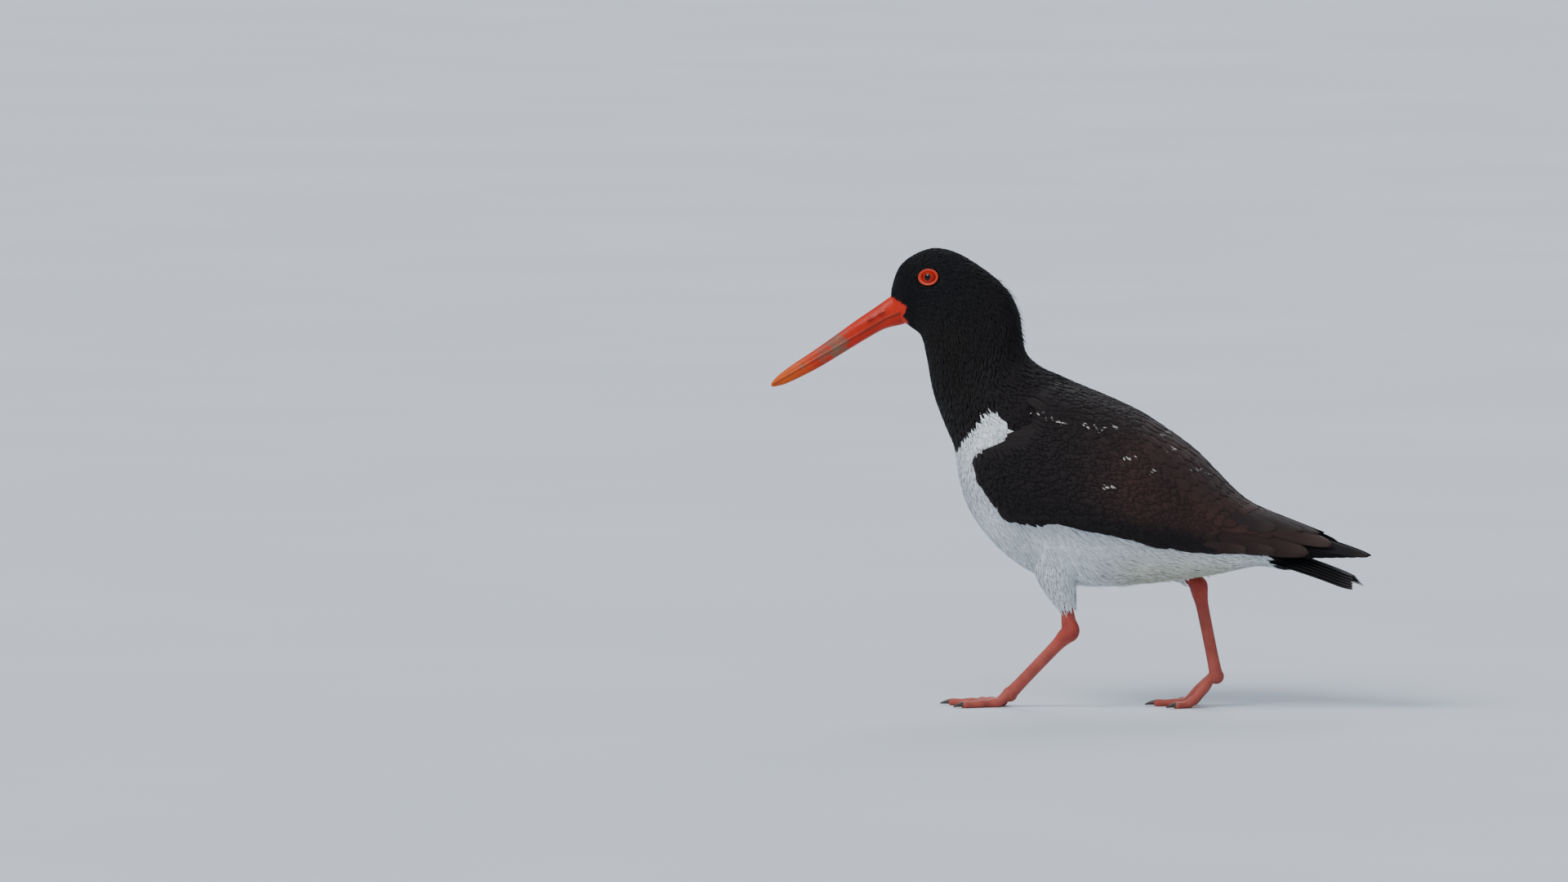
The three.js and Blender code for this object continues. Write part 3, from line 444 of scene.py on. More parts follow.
def feather_piece(name, grids, tints, patches, replaces, slot, patch=0.003):
    """One object from grids of feathers, with their colours and their OFBake patches.

    tints is one rgb a feather, which a second rgb and its share at the end may follow.
    patches is the place of each root on an unwrap, from 0 to 1.
    """
    points, colours, uvs, barbs, faces, base = [], [], [], [], [], 0
    for grid, tint, place in zip(grids, tints, patches):
        count, _, nt, na, _ = grid.shape
        t = np.broadcast_to(spaced(nt - 1)[None, None, :, None], (count, 2, nt, na))
        a = np.broadcast_to(np.linspace(-1, 1, na)[None, None, None], (count, 2, nt, na))
        points.append(grid.reshape(-1, 3))
        tint = np.asarray(tint)
        colour = np.broadcast_to(tint[:, None, None, None, :3], (count, 2, nt, na, 3)).copy()
        if tint.shape[1] > 3:
            # The feather's end takes a second colour by a share.
            share = tint[:, None, None, None, 6:7] * smooth((t - 0.8) / 0.16)[..., None]
            colour = colour * (1 - share) + tint[:, None, None, None, 3:6] * share
        colours.append(colour.reshape(-1, 3))
        size = np.broadcast_to(np.asarray(patch, float), (2,)) * 0.5
        uv = np.stack(
            [
                place[:, 0][:, None, None, None] + a * size[0],
                place[:, 1][:, None, None, None] + (t * 2 - 1) * size[1],
            ],
            -1,
        )
        uvs.append(uv.reshape(-1, 2))
        shaft = grid[:, :, :, na // 2]
        steps = np.linalg.norm(np.diff(shaft, axis=2), axis=-1)
        run = np.concatenate([np.zeros((count, 2, 1)), np.cumsum(steps, 2)], 2)[..., None]
        width = np.linalg.norm(grid[:, :, :, -1] - grid[:, :, :, 0], axis=-1)[..., None] / 2
        spin = np.broadcast_to(rng.random(count)[:, None, None, None], a.shape)
        barbs.append(np.stack([run + 0 * a, a * width, spin], -1).reshape(-1, 3))
        faces.append(vane_faces(count, nt, na) + base)
        base += count * 2 * nt * na
    obj = new_object(name, np.concatenate(points), np.concatenate(faces))
    add_colours(obj, "tint", np.concatenate(colours))
    add_vectors(obj, "barb", np.concatenate(barbs))
    add_point_uv(obj, "OFBake", np.concatenate(uvs))
    declare(obj, PLUMAGE, slot, *replaces)


CROWD = 7  # places tried for each that would fit


def scatter(surface, u_span, v_span, radius, keep=None):
    """Places spread evenly over part of a surface, at least about a radius apart."""
    nu, nv = 160, 96
    us = np.linspace(*u_span, nu + 1)
    vs = np.linspace(*v_span, nv + 1)
    cu, cv = np.meshgrid((us[1:] + us[:-1]) / 2, (vs[1:] + vs[:-1]) / 2, indexing="ij")
    pu, pv, _ = surface.lie(cu, cv)
    area = np.linalg.norm(np.cross(pu, pv), axis=-1) * (us[1] - us[0]) * (vs[1] - vs[0])
    share = np.cumsum(area.ravel())
    count = int(share[-1] / radius**2 * CROWD)
    pick = np.searchsorted(share, rng.random(count) * share[-1])
    iu, iv = np.unravel_index(np.minimum(pick, nu * nv - 1), (nu, nv))
    u = us[iu] + rng.random(count) * (us[1] - us[0])
    v = vs[iv] + rng.random(count) * (vs[1] - vs[0])
    at = surface.point(u, v)
    if keep is not None:
        ok = keep(at)
        u, v, at = u[ok], v[ok], at[ok]
    cells, chosen = {}, []
    key = np.floor(at / radius).astype(int)
    near = [(i, j, k) for i in (-1, 0, 1) for j in (-1, 0, 1) for k in (-1, 0, 1)]
    close = radius * radius
    for n, ((a, b, c), p) in enumerate(zip(key.tolist(), at.tolist())):
        free = True
        for i, j, k in near:
            for q in cells.get((a + i, b + j, c + k), ()):
                if (p[0] - q[0]) ** 2 + (p[1] - q[1]) ** 2 + (p[2] - q[2]) ** 2 < close:
                    free = False
                    break
            if not free:
                break
        if free:
            cells.setdefault((a, b, c), []).append(p)
            chosen.append(n)
    chosen = np.array(chosen)
    return u[chosen], v[chosen]


# Materials

BARB_PITCH = 0.8


class Nodes:
    """A material's node tree with short calls."""

    def __init__(self, name):
        self.material = bpy.data.materials.new(name)
        self.material.use_nodes = True
        self.tree = self.material.node_tree
        self.shader = self.tree.nodes["Principled BSDF"]

    def add(self, kind, **values):
        node = self.tree.nodes.new(kind)
        for key, value in values.items():
            if key in node.inputs:
                node.inputs[key].default_value = value
            else:
                setattr(node, key.lower(), value)
        return node

    def link(self, a, b):
        self.tree.links.new(a, b)

    def attribute(self, name):
        return self.add("ShaderNodeAttribute", attribute_name=name)

    def noise(self, scale, detail=4.0):
        node = self.add("ShaderNodeTexNoise", Scale=scale, Detail=detail)
        source = self.add("ShaderNodeTexCoord").outputs["Object"]
        self.link(source, node.inputs["Vector"])
        return node.outputs["Fac"]

    def ramp(self, source, stops):
        """A colour ramp; a stop's colour is an rgb row, or one number for a grey."""
        node = self.add("ShaderNodeValToRGB")
        self.link(source, node.inputs["Fac"])
        band = node.color_ramp
        while len(band.elements) < len(stops):
            band.elements.new(0.5)
        for element, (place, colour) in zip(band.elements, stops):
            element.position = place
            element.color = (*(colour if isinstance(colour, tuple) else [colour] * 3), 1)
        return node.outputs["Color"]

    def feed(self, *pairs):
        """Sockets take an output or a plain value each."""
        for value, socket in pairs:
            if hasattr(value, "links"):
                self.link(value, socket)
            else:
                socket.default_value = value

    def tinted(self, *shades):
        """The point colours, multiplied by every shade."""
        colour = self.attribute("tint").outputs["Color"]
        for shade in shades:
            node = self.add("ShaderNodeMix", data_type="RGBA", blend_type="MULTIPLY")
            self.feed((1.0, node.inputs[0]), (colour, node.inputs[6]), (shade, node.inputs[7]))
            colour = node.outputs[2]
        return colour

    def finished(self, **inputs):
        """The material, when the shader's inputs have taken an output or a value each."""
        for key, value in inputs.items():
            self.feed((value, self.shader.inputs[key.replace("_", " ")]))
        return self.material

    def maths(self, operation, a, b=0.0):
        node = self.add("ShaderNodeMath", operation=operation)
        self.feed((a, node.inputs[0]), (b, node.inputs[1]))
        return node.outputs[0]

    def bump(self, height, distance, strength):
        node = self.add("ShaderNodeBump", Distance=distance, Strength=strength)
        self.link(height, node.inputs["Height"])
        return node.outputs["Normal"]


def plumage_material():
    """Feather colour from the point colours, with fine barbs that slant from each shaft."""
    n = Nodes("plumage")
    split = n.add("ShaderNodeSeparateXYZ")
    n.link(n.attribute("barb").outputs["Vector"], split.inputs[0])
    run, off, spin = split.outputs
    away = n.maths("ABSOLUTE", off)
    slant = n.maths("SUBTRACT", run, n.maths("MULTIPLY", away, 1.1))
    turns = n.maths("MULTIPLY", slant, 2 * math.pi / BARB_PITCH)
    ripple = n.maths("SINE", n.maths("ADD", turns, n.maths("MULTIPLY", spin, 40.0)))
    shaft = n.ramp(away, [(0.0, 1), (0.3, 0)])
    height = n.maths("ADD", n.maths("MULTIPLY", ripple, 0.3), shaft)
    fine = n.noise(420.0, 3.0)
    shade = n.ramp(n.noise(38.0, 5.0), [(0.3, 0.84), (0.7, 1.08)])
    grain = n.ramp(fine, [(0.25, 0.86), (0.75, 1.1)])
    return n.finished(
        Base_Color=n.tinted(shade, grain),
        Roughness=n.ramp(fine, [(0.2, 0.62), (0.8, 0.84)]),
        Normal=n.bump(height, 0.00008, 0.5),
        Specular_IOR_Level=0.16, Sheen_Weight=0.03, Sheen_Roughness=0.4,
    )


def skin_material():
    """Skin under the coat, in the coat's own colours with darker patches."""
    n = Nodes("coat_skin")
    return n.finished(
        Base_Color=n.tinted(n.ramp(n.noise(90.0, 5.0), [(0.3, 0.86), (0.7, 1.0)])),
        Normal=n.bump(n.noise(700.0, 3.0), 0.0002, 0.5),
        Roughness=0.85, Specular_IOR_Level=0.15,
    )


def bill_material():
    """Streaked horn in the point colours."""
    n = Nodes("bill_horn")
    streaks = [(0.3, (0.84, 0.8, 0.8)), (0.7, (1.08, 1.1, 1.1))]
    return n.finished(
        Base_Color=n.tinted(n.ramp(n.noise(160.0, 5.0), streaks)),
        Roughness=n.ramp(n.noise(300.0, 4.0), [(0.3, 0.3), (0.7, 0.5)]),
        Normal=n.bump(n.noise(240.0, 5.0), 0.0003, 0.5),
        Specular_IOR_Level=0.28,
    )


def leg_material():
    """Pinkish-red skin of small scales."""
    n = Nodes("leg_scales")
    cells = n.add("ShaderNodeTexVoronoi", Scale=1150.0, feature="DISTANCE_TO_EDGE")
    n.link(n.add("ShaderNodeTexCoord").outputs["Object"], cells.inputs["Vector"])
    gap = cells.outputs["Distance"]
    groove = n.ramp(gap, [(0.0, (0.74, 0.68, 0.68)), (0.12, 1)])
    blotch = n.ramp(n.noise(110.0, 4.0), [(0.3, (0.8, 0.76, 0.76)), (0.7, 1.12)])
    return n.finished(
        Base_Color=n.tinted(groove, blotch),
        Normal=n.bump(n.ramp(gap, [(0.0, 0), (0.16, 1)]), 0.00016, 0.7),
        Roughness=0.48, Specular_IOR_Level=0.4,
    )


def claw_material():
    n = Nodes("claw_horn")
    horn = [(0.3, (0.02, 0.016, 0.014)), (0.7, (0.07, 0.05, 0.04))]
    return n.finished(
        Base_Color=n.ramp(n.noise(500.0, 4.0), horn),
        Normal=n.bump(n.noise(900.0, 3.0), 0.0001, 0.5),
        Roughness=0.38, Specular_IOR_Level=0.5,
    )


def lid_material():
    """Bare orange-red skin round the eye."""
    n = Nodes("eye_ring_skin")
    skin = [(0.3, (0.4, 0.012, 0.0006)), (0.7, (0.52, 0.032, 0.001))]
    return n.finished(
        Base_Color=n.ramp(n.noise(900.0, 4.0), skin),
        Normal=n.bump(n.noise(1600.0, 3.0), 0.0001, 0.8),
        Roughness=0.5, Specular_IOR_Level=0.35,
    )


def eye_material():
    """The wet eyeball, in the point colours with darker rays."""
    n = Nodes("eye_ball")
    rays = [(0.3, (0.7, 0.6, 0.6)), (0.7, (1.15, 1.2, 1.2))]
    return n.finished(
        Base_Color=n.tinted(n.ramp(n.noise(1500.0, 4.0), rays)),
        Roughness=0.06, Specular_IOR_Level=0.22,
    )


PLUMAGE = plumage_material()
SKIN = skin_material()


# Colours of the plumage

FACE_BLACK = np.array([0.0045, 0.0052, 0.007])
NECK_BLACK = np.array([0.0085, 0.0075, 0.0072])
MANTLE_BROWN = np.array([0.011, 0.008, 0.0095])
BELLY_WHITE = np.array([0.78, 0.82, 0.84])
# Yellow-olive stain of the rear belly, made darker as painted shade.
BELLY_STAIN_AND_SHADE = np.array([0.58, 0.57, 0.4])


def is_black(at):
    """Whether a place on the body carries black feathers."""
    line = np.interp(at[..., 0], MARKING_LINE[:, 0], MARKING_LINE[:, 1])
    return at[..., 2] > line


def body_tint(at, rough=0.0):
    """Feather colour at places of the body, with uneven edges to the markings."""
    wobble = np.stack([wave(at, 7, 1.1), wave(at, 8, 2.3), wave(at, 6, 4.7)], -1) * rough
    black = is_black(at + wobble)[..., None]
    back = smooth((at[..., 0] + 70) / 60)[..., None]
    front = smooth((at[..., 2] - 205) / 30)[..., None]
    dark = NECK_BLACK * (1 - back) + MANTLE_BROWN * back
    dark = dark * (1 - 0.7 * front * (1 - back)) + FACE_BLACK * 0.7 * front * (1 - back)
    # Low on the rear belly the white turns to a yellow-olive stain, darker towards the bottom as
    # painted shade.
    low = smooth((100 - at[..., 2]) / 26) * smooth((at[..., 0] - 10) / 40)
    low = (low * smooth((118 - at[..., 0]) / 30) * 0.7)[..., None]
    pale = BELLY_WHITE * (1 - low) + BELLY_STAIN_AND_SHADE * low
    return np.where(black, dark, pale)


def wave(at, size, phase):
    """A smooth uneven field between -1 and 1."""
    p = at / size
    return (
        np.sin(p[..., 0] * 1.7 + phase) * np.cos(p[..., 1] * 1.3 - phase * 2)
        + np.sin(p[..., 2] * 1.9 + p[..., 0] * 0.7 + phase * 3)
    ) / 2


# Body

BODY = Loft(BODY_SECTIONS)
ENVELOPE = Loft(ENVELOPE_SECTIONS)
COAT_DEPTH_AT = [0, 3, 9, 14, 24, 27]
COAT_DEPTH = [0.35, 0.7, 1.2, 1.6, 1.6, 1.0]
THIGHS = {
    "left": ([[4, -20, 96], [-2, -24, 78], [3.4, -24.4, 58.6]], [18, 13, 6]),
    "right": ([[34, 20, 100], [50, 22, 86], [63.5, 20.8, 72.8]], [18, 13, 6.2]),
}


def thigh_tube(side, grow=0.0):
    centres, radii = THIGHS[side]
    t = np.linspace(0, 2, 9)
    rows = along(np.column_stack([np.array(centres, float), radii]), t)
    radius = rows[:, 3] + grow
    return Tube(rows[:, :3], radius, radius * 0.82)


def eye_frame():
    """Middle and axes (rear, up, out) of the left eye on the face."""
    reach = 4.5

    def at(dx, dz):
        u, v = BODY.place(EYE[0] + dx, EYE[1] + dz)
        return BODY.point(u, v)

    rear, fore, top, low = at(reach, 0), at(-reach, 0), at(0, reach), at(0, -reach)
    out = np.cross(top - low, fore - rear)
    out /= np.linalg.norm(out)
    if out[1] > 0:
        out = -out
    back = np.cross([0, 0, 1], out)
    back /= np.linalg.norm(back)
    return (rear + fore + top + low) / 4, back, np.cross(out, back), out


EYE_MIDDLE, EYE_BACK, EYE_UP, EYE_OUT = eye_frame()
SIDE_FLIP = {LEFT: np.array([1, 1, 1]), RIGHT: np.array([1, -1, 1])}


def near_eye(at, long, tall):
    """Whether places lie inside an oval round either eye."""
    gap = np.stack([at[..., 0], -np.abs(at[..., 1]), at[..., 2]], -1) - EYE_MIDDLE
    close = (gap @ EYE_BACK / long) ** 2 + (gap @ EYE_UP / tall) ** 2 < 1
    return close & (gap @ EYE_OUT > -4)


def coat_depth(u):
    return np.interp(u, COAT_DEPTH_AT, COAT_DEPTH)


def make_skin():
    """One skin for head, neck, trunk and feathered thighs, inside the coat."""
    us = np.linspace(0.05, BODY.last - 0.1, 170)
    rings = surface_rings(BODY, us, 80, -coat_depth(us))
    parts = [new_object("trunk", rings.reshape(-1, 3), ring_faces(len(us), 80))]
    for side in THIGHS:
        tube = thigh_tube(side, -1.4)
        tus = np.linspace(0, tube.last - 0.2, 24)
        points = surface_rings(tube, tus, 32).reshape(-1, 3)
        parts.append(new_object("thigh", points, ring_faces(24, 32)))
    for obj in parts:
        fix_normals(obj)
    skin = fused("skin", parts, 1.1, 4)
    add_colours(skin, "tint", body_tint(points_of(skin), 1.0))
    flesh = ("head", "neck", "torso", "back", "thigh_left", "thigh_right")
    declare(skin, SKIN, "black_feathers", *flesh)


def fix_normals(obj, drop_loose=False):
    """Faces are turned to face out; points that no face uses can be taken away."""
    bm = bmesh.new()
    bm.from_mesh(obj.data)
    if drop_loose:
        bmesh.ops.delete(bm, geom=[p for p in bm.verts if not p.link_faces], context="VERTS")
    bmesh.ops.recalc_face_normals(bm, faces=bm.faces)
    bm.to_mesh(obj.data)
    bm.free()


def inside_polygon(x, z, outline):
    """Whether points of the side view lie inside an outline."""
    inside = np.zeros(np.shape(x), bool)
    ax, az = outline[-1]
    for bx, bz in outline:
        cross = (az > z) != (bz > z)
        with np.errstate(divide="ignore", invalid="ignore"):
            at = (bx - ax) * (z - az) / (bz - az) + ax
        inside ^= cross & (x < at)
        ax, az = bx, bz
    return inside


# Inside this outline of the side view the wings hide the body.
UNDER_WING = [
    (-38, 140), (-34, 126), (-24, 118), (30, 113), (80, 101), (112, 100), (112, 112),
    (60, 165), (20, 168), (-6, 160), (-18, 150),
]

# Where the feathers of the face begin behind the bare base of the bill, in side view.
FACE_EDGE = [
    (-120, 229.4), (-101.4, 229.3), (-96.6, 226.8), (-92, 223.6), (-93.4, 221),
    (-94.8, 218.4), (-92.2, 216), (-92.6, 213.8), (-93, 206), (-120, 206),
]

# The bare base of the bill, a little past the first feathers, in side view.
BASE_OUTLINE = [
    (-106, 234), (-101.6, 230.8), (-95.6, 228), (-90.2, 224.6), (-91.4, 221), (-92.8, 218.4),
    (-90, 215.6), (-91, 206), (-106, 206),
]

BODY_TRACTS = {
    # name: (from section, to section, spacing, length, half width, stray, slot, nodes)
    "coat_face": (0.1, 2.8, 0.62, 2.3, 0.36, 0.1, "black_feathers", ("head",)),
    "coat_head": (2.7, 5.4, 0.82, 3.6, 0.46, 0.12, "black_feathers", ("head",)),
    "coat_nape": (5.3, 8.6, 1.0, 4.8, 0.56, 0.13, "black_feathers", ("head", "neck")),
    "coat_neck": (8.5, 12.6, 1.2, 6.6, 0.7, 0.13, "black_feathers", ("neck", "torso", "back")),
    "coat_breast": (12.5, 16.6, 1.25, 9.5, 1.12, 0.12, "white_feathers", ("torso", "back")),
    "coat_flank": (16.5, 20.2, 1.25, 10.5, 1.16, 0.13, "white_feathers", ("torso", "back")),
    "coat_vent": (20.0, 25.2, 1.25, 10.5, 1.18, 0.12, "white_feathers", ("torso", "back")),
}
# The flat pointed shape that the small feathers of the coat share.
TUFT = dict(columns=2, camber=0.0, thick=0.07, start=0.7)
SOFT_END = dict(point=0.15, taper=0.8)
FACE_END, UNDER_WING_FROM, RUMP_FROM = 3, 12, 17  # sections
# Rump feathers stay under a line that falls to the rear, clear of the wings.
RUMP_X, RUMP_Z, RUMP_SLOPE = 118, 104, 0.175
# How far round a thigh's top the body feathers turn down, along and up, and by what angle.
FLOW_LONG, FLOW_TALL, FLOW_TURN = 20, 13, 0.9


def coat_patch(u, v, u0, u1):
    """Places of roots on an unwrap of their stretch of the body."""
    return np.stack([0.02 + 0.96 * v / (2 * math.pi), 0.02 + 0.96 * (u - u0) / (u1 - u0)], -1)


def thigh_flow(at, v):
    """How far body feathers turn downwards above each thigh."""
    x, z = THIGH_TOP["left"]
    x = np.where(at[:, 1] > 0, THIGH_TOP["right"][0], x)
    near = np.exp(-(((at[:, 0] - x) / FLOW_LONG) ** 2) - ((at[:, 2] - z) / FLOW_TALL) ** 2)
    near = near * smooth((np.abs(at[:, 1]) - 8) / 10)
    return FLOW_TURN * near * np.sign(math.pi - np.mod(v, 2 * math.pi))


def make_coat():
    """The coat of the head, neck and trunk, tract by tract."""
    for name, (u0, u1, spacing, length, half, stray, slot, nodes) in BODY_TRACTS.items():

        def shown(at):
            x, z = at[:, 0], at[:, 2]
            ok = ~near_eye(at, LID_LONG + 0.1, LID_TALL + 0.1)
            if u0 < FACE_END:
                ok &= ~inside_polygon(x, z, FACE_EDGE)
            if u0 > UNDER_WING_FROM:
                ok &= ~inside_polygon(x, z, UNDER_WING)
            if u0 > RUMP_FROM:
                ok &= z < (RUMP_X - x) * RUMP_SLOPE + RUMP_Z
            return ok

        u, v = scatter(BODY, (u0, u1), (0, 2 * math.pi), spacing, shown)
        count = len(u)
        size = rng.uniform(0.85, 1.15, count)
        turn = rng.normal(0, stray, count) + thigh_flow(BODY.point(u, v), v)
        depth = coat_depth(u)
        lift = rng.uniform(-0.12, 0.1, count) * np.minimum(depth, 1.2)
        sunk = -depth - 0.1 + (0.16 if u0 < FACE_END else 0.0)
        grids = lay_vanes(
            BODY, u, v, turn, length * size, half * size, sunk, lift - 0.02,
            rows=3, power=0.55, **TUFT, **SOFT_END,
        )
        at = grids[:, 0, -2].mean(axis=1)
        tint = body_tint(at, 1.2) * rng.uniform(0.9, 1.1, (count, 1))
        clear = ~near_eye(grids[:, 0, -1].mean(axis=1), LID_LONG - 0.2, LID_TALL - 0.2)
        place = coat_patch(u, v, u0, u1)
        feather_piece(name, [grids[clear]], [tint[clear]], [place[clear]], nodes, slot)


# Loose feathers that break the outline: from section, to section, from angle, to angle, count,
# length, half width, how far their ends stand out, slot and node.
LOOSE = {
    "nape_tufts": (6.8, 10.2, -0.5, 0.5, 420, 8.0, 0.55, 2.6, "black_feathers", "neck"),
    "belly_fringe": (17.6, 21.6, 2.5, 3.78, 520, 13.0, 0.62, 1.9, "white_feathers", "torso"),
    "vent_fringe": (21.4, 24.4, 2.3, 3.98, 260, 12.0, 0.7, 0.6, "white_feathers", "torso"),
}


def make_loose_feathers():
    """Tufts that stand out from the nape, the belly and the vent."""
    for name, (u0, u1, v0, v1, count, length, half, rise, slot, node) in LOOSE.items():
        u = rng.uniform(u0, u1, count)
        v = rng.uniform(v0, v1, count)
        size = rng.uniform(0.6, 1.1, count)
        turn = rng.normal(0, 0.16, count)
        grids = lay_vanes(
            BODY, u, v, turn, length * size, half * size, -1.6, rise * rng.random(count) ** 1.5,
            rows=4, point=0.1, taper=1.0, power=1.3, **TUFT,
        )
        at = grids[:, 0, -2].mean(axis=1)
        tint = body_tint(at, 1.2) * rng.uniform(0.85, 1.1, (count, 1))
        place = coat_patch(u, np.mod(v, 2 * math.pi), u0, u1)
        feather_piece(name, [grids], [tint], [place], [node], slot)


# In side view: the fold where flank feathers lie over the belly, and the tops of the thighs.
FOLD_LINE = [
    (-24.3, 105), (-12.5, 98), (0.6, 90.2), (10, 88), (24, 89.7), (33.6, 91.2), (43, 90),
    (62, 86.5), (90, 84.5),
]
THIGH_TOP = {"left": (-1, 84), "right": (52, 84)}
FOLD_COVER, THIGH_COVER = 900, 1000  # feathers on each side
SIDE_SPAN = (14, 25)  # body sections that they lie on


def make_placed_feathers():
    """Feathers that fall over the tops of the thighs, and a soft fold along each flank."""
    for side, name in SIDES:
        at, shapes = [], []  # heading, length, lift of the end and half width
        fold = np.array(FOLD_LINE, float)
        for _ in range(FOLD_COVER):
            k = rng.uniform(0, len(fold) - 1.001)
            i = int(k)
            spot = fold[i] + (fold[i + 1] - fold[i]) * (k - i)
            at.append(spot + [rng.uniform(-9, -4), rng.uniform(-0.5, 6)])
            shapes.append((0.12, 10.5, 0.7, 0.95))
        for _ in range(THIGH_COVER):
            x, z = THIGH_TOP[name]
            off, fall = rng.uniform(-9, 20), rng.random()
            at.append([x + off, z + 15 - 14 * fall - 0.4 * off])
            shapes.append((0.25 + 0.85 * fall, 13.0, 0.5 + 2.4 * fall, 0.7))
        spots = np.array([BODY.place(*p) for p in at])
        count = len(spots)
        u, v = spots.T
        size = rng.uniform(0.8, 1.15, count)
        heading, length, lift, half = np.array(shapes).T
        turn = heading + rng.normal(0, 0.12, count)
        high = lift * rng.random(count)
        grids = lay_vanes(
            BODY, u, v, turn, length * size, half * size, -1.5, high,
            rows=4, power=0.8, **TUFT, **SOFT_END,
        )
        at = grids[:, 0, -2].mean(axis=1)
        white = ~is_black(grids[:, 0].mean(axis=(1, 2)))
        tint = body_tint(at, 1.2) * rng.uniform(0.92, 1.1, (count, 1))
        if side == RIGHT:
            grids = mirrored_grid(grids)
        place = coat_patch(u[white], v[white], *SIDE_SPAN)
        nodes = ("torso", f"thigh_{name}")
        grids, tint = grids[white], tint[white]
        feather_piece(f"coat_side_{name}", [grids], [tint], [place], nodes, "white_feathers")


# Wings


def on_run(run, share):
    """The place at a share of a bent line's points."""
    run = np.asarray(run, float)
    place = share * (len(run) - 1)
    i = min(int(place), len(run) - 2)
    return run[i] + (run[i + 1] - run[i]) * (place - i)


# Rows of wing feathers in side view, as in the solids: runs of roots and of ends.
WING_ROWS = [
    ([[-40, 146], [-44, 134], [-35, 117.6]], [[-12, 152], [-16, 132], [-12.6, 106.4]]),
    ([[-20, 160], [-24, 138], [-19, 117]], [[8, 162], [8, 136], [13, 107.4]]),
    ([[2, 168], [-2, 142], [1, 115]], [[33, 160], [34, 134], [39, 100.6]]),
    ([[25, 162], [22, 138], [27, 113]], [[58, 146], [60, 122], [67, 93.8]]),
    ([[50, 148], [48, 128], [54, 107]], [[84, 128], [88, 110], [95, 90.6]]),
]
# The wing's lower edge in side view, where small uneven feathers end.
EDGE_LINE = [
    (-22, 107.4), (-8, 107.8), (17, 107.4), (30, 103.4), (50, 97.6), (66, 95.8), (79, 92),
    (94, 90.2),
]
EDGE_COUNT = 64
ROW_STEPS = 3
ROW_COUNT = 18
COVERT_STRAY = [1.6, 0.8, 1.6, 0.7]
SCAPULAR_ROWS, SCAPULAR_COUNT = 20, 8
WING_DARK = np.array([0.009, 0.0065, 0.0072])
WING_BROWN = np.array([0.022, 0.0145, 0.0135])
WING_RED = np.array([0.042, 0.019, 0.016])
TERTIAL_BROWN = np.array([0.03, 0.016, 0.0135])
SPECKS = [
    (-10, 167.7), (-3.2, 164.7), (2.2, 162.3), (18, 160.6), (24.2, 158.8), (32.1, 160),
    (40.7, 143.5), (55.5, 136.2), (55.8, 155.7), (62.9, 147.4), (76.5, 136.3), (82.9, 133.7),
    (31.1, 127.6),
]
FLAKES = 6  # at each speck
SPECK_PALE = np.array([0.5, 0.47, 0.44])
PAD_OUTLINE = [
    (-45, 141), (-42.6, 133), (-39, 125.6), (-34.4, 119.4), (-28, 112.6), (-21, 109.4),
    (14, 112.6), (30, 108), (52, 102.6), (72, 98), (86, 96.6), (100, 97.4), (118, 98),
    (128, 98), (132, 110), (60, 175), (12, 184), (-8, 176), (-18, 158), (-24, 152),
    (-35, 148.6), (-43, 145.4),
]


# The wing's lower edge in side view, from which its colours are measured: x, then z.
WING_EDGE = ([-45, -25, 14, 50, 95, 120, 150], [125, 108, 108, 98, 90, 88, 88])


def wing_tint(at):
    """Colour of wing feathers at places: black along the lower edge, reddish behind."""
    x, z = at[..., 0], at[..., 2]
    edge = np.interp(x, *WING_EDGE)
    low = smooth((z - edge - 2) / 15)[..., None]
    red = smooth((x - 10) / 50) * smooth((z - edge - 3) / 10) * smooth((edge + 62 - z) / 16)
    red = (red * (0.65 + 0.35 * wave(at, 11, 0.7)))[..., None]
    front = smooth((x + 22) / 80)[..., None]
    mid = WING_DARK * (1 - front) + WING_BROWN * front
    colour = WING_DARK * (1 - low) + mid * low
    return colour * (1 - red) + WING_RED * red


def mirrored_grid(grid):
    """The same feathers on the other side, with the order of columns kept facing out."""
    return (grid * SIDE_FLIP[RIGHT])[:, :, :, ::-1]


def param_vanes(
    roots, tips, half, low, high, rows, columns,
    *, camber, thick, point=0.6, power=0.6, roll=0.0, fray=0.8,
):
    """Grids of feathers that follow straight lines between (u, v) places of the envelope."""
    roots, tips = np.array(roots, float), np.array(tips, float)
    half, low, high = (np.broadcast_to(np.asarray(q, float), len(roots)) for q in (half, low, high))
    t = spaced(rows)
    a = np.linspace(-1, 1, columns)
    uv = roots[:, None] + (tips - roots)[:, None] * t[None, :, None]
    pu, pv, out = ENVELOPE.lie(uv[..., 0], uv[..., 1])
    step = (tips - roots)[:, None]
    way = pu * step[..., 0:1] + pv * step[..., 1:2]
    way /= np.linalg.norm(way, axis=-1, keepdims=True)
    side = np.cross(out, way)
    side *= np.sign(np.sum(side * pv, -1, keepdims=True))
    eu, ev = rates(side, pu, pv)
    spread = half[:, None, None] * vane_width(t, point)[None, :, None] * a[None, None]
    base = ENVELOPE.point(
        uv[..., 0][..., None] + eu[..., None] * spread,
        uv[..., 1][..., None] + ev[..., None] * spread,
    )
    rise = low[:, None] + (high - low)[:, None] * t[None] ** power
    off = rise[..., None] + camber * (1 - a**2)[None, None] + roll * spread
    upper = base + out[:, :, None] * off[..., None]
    upper += way[:, :, None] * frayed(len(roots), t, columns, fray)
    return closed(upper, out[:, :, None], thick, t)


def wing_patches(uv):
    uv = np.array(uv, float)
    return np.stack([0.02 + 0.96 * uv[:, 1] / math.pi, 0.02 + 0.96 * uv[:, 0] / ENVELOPE.last], -1)


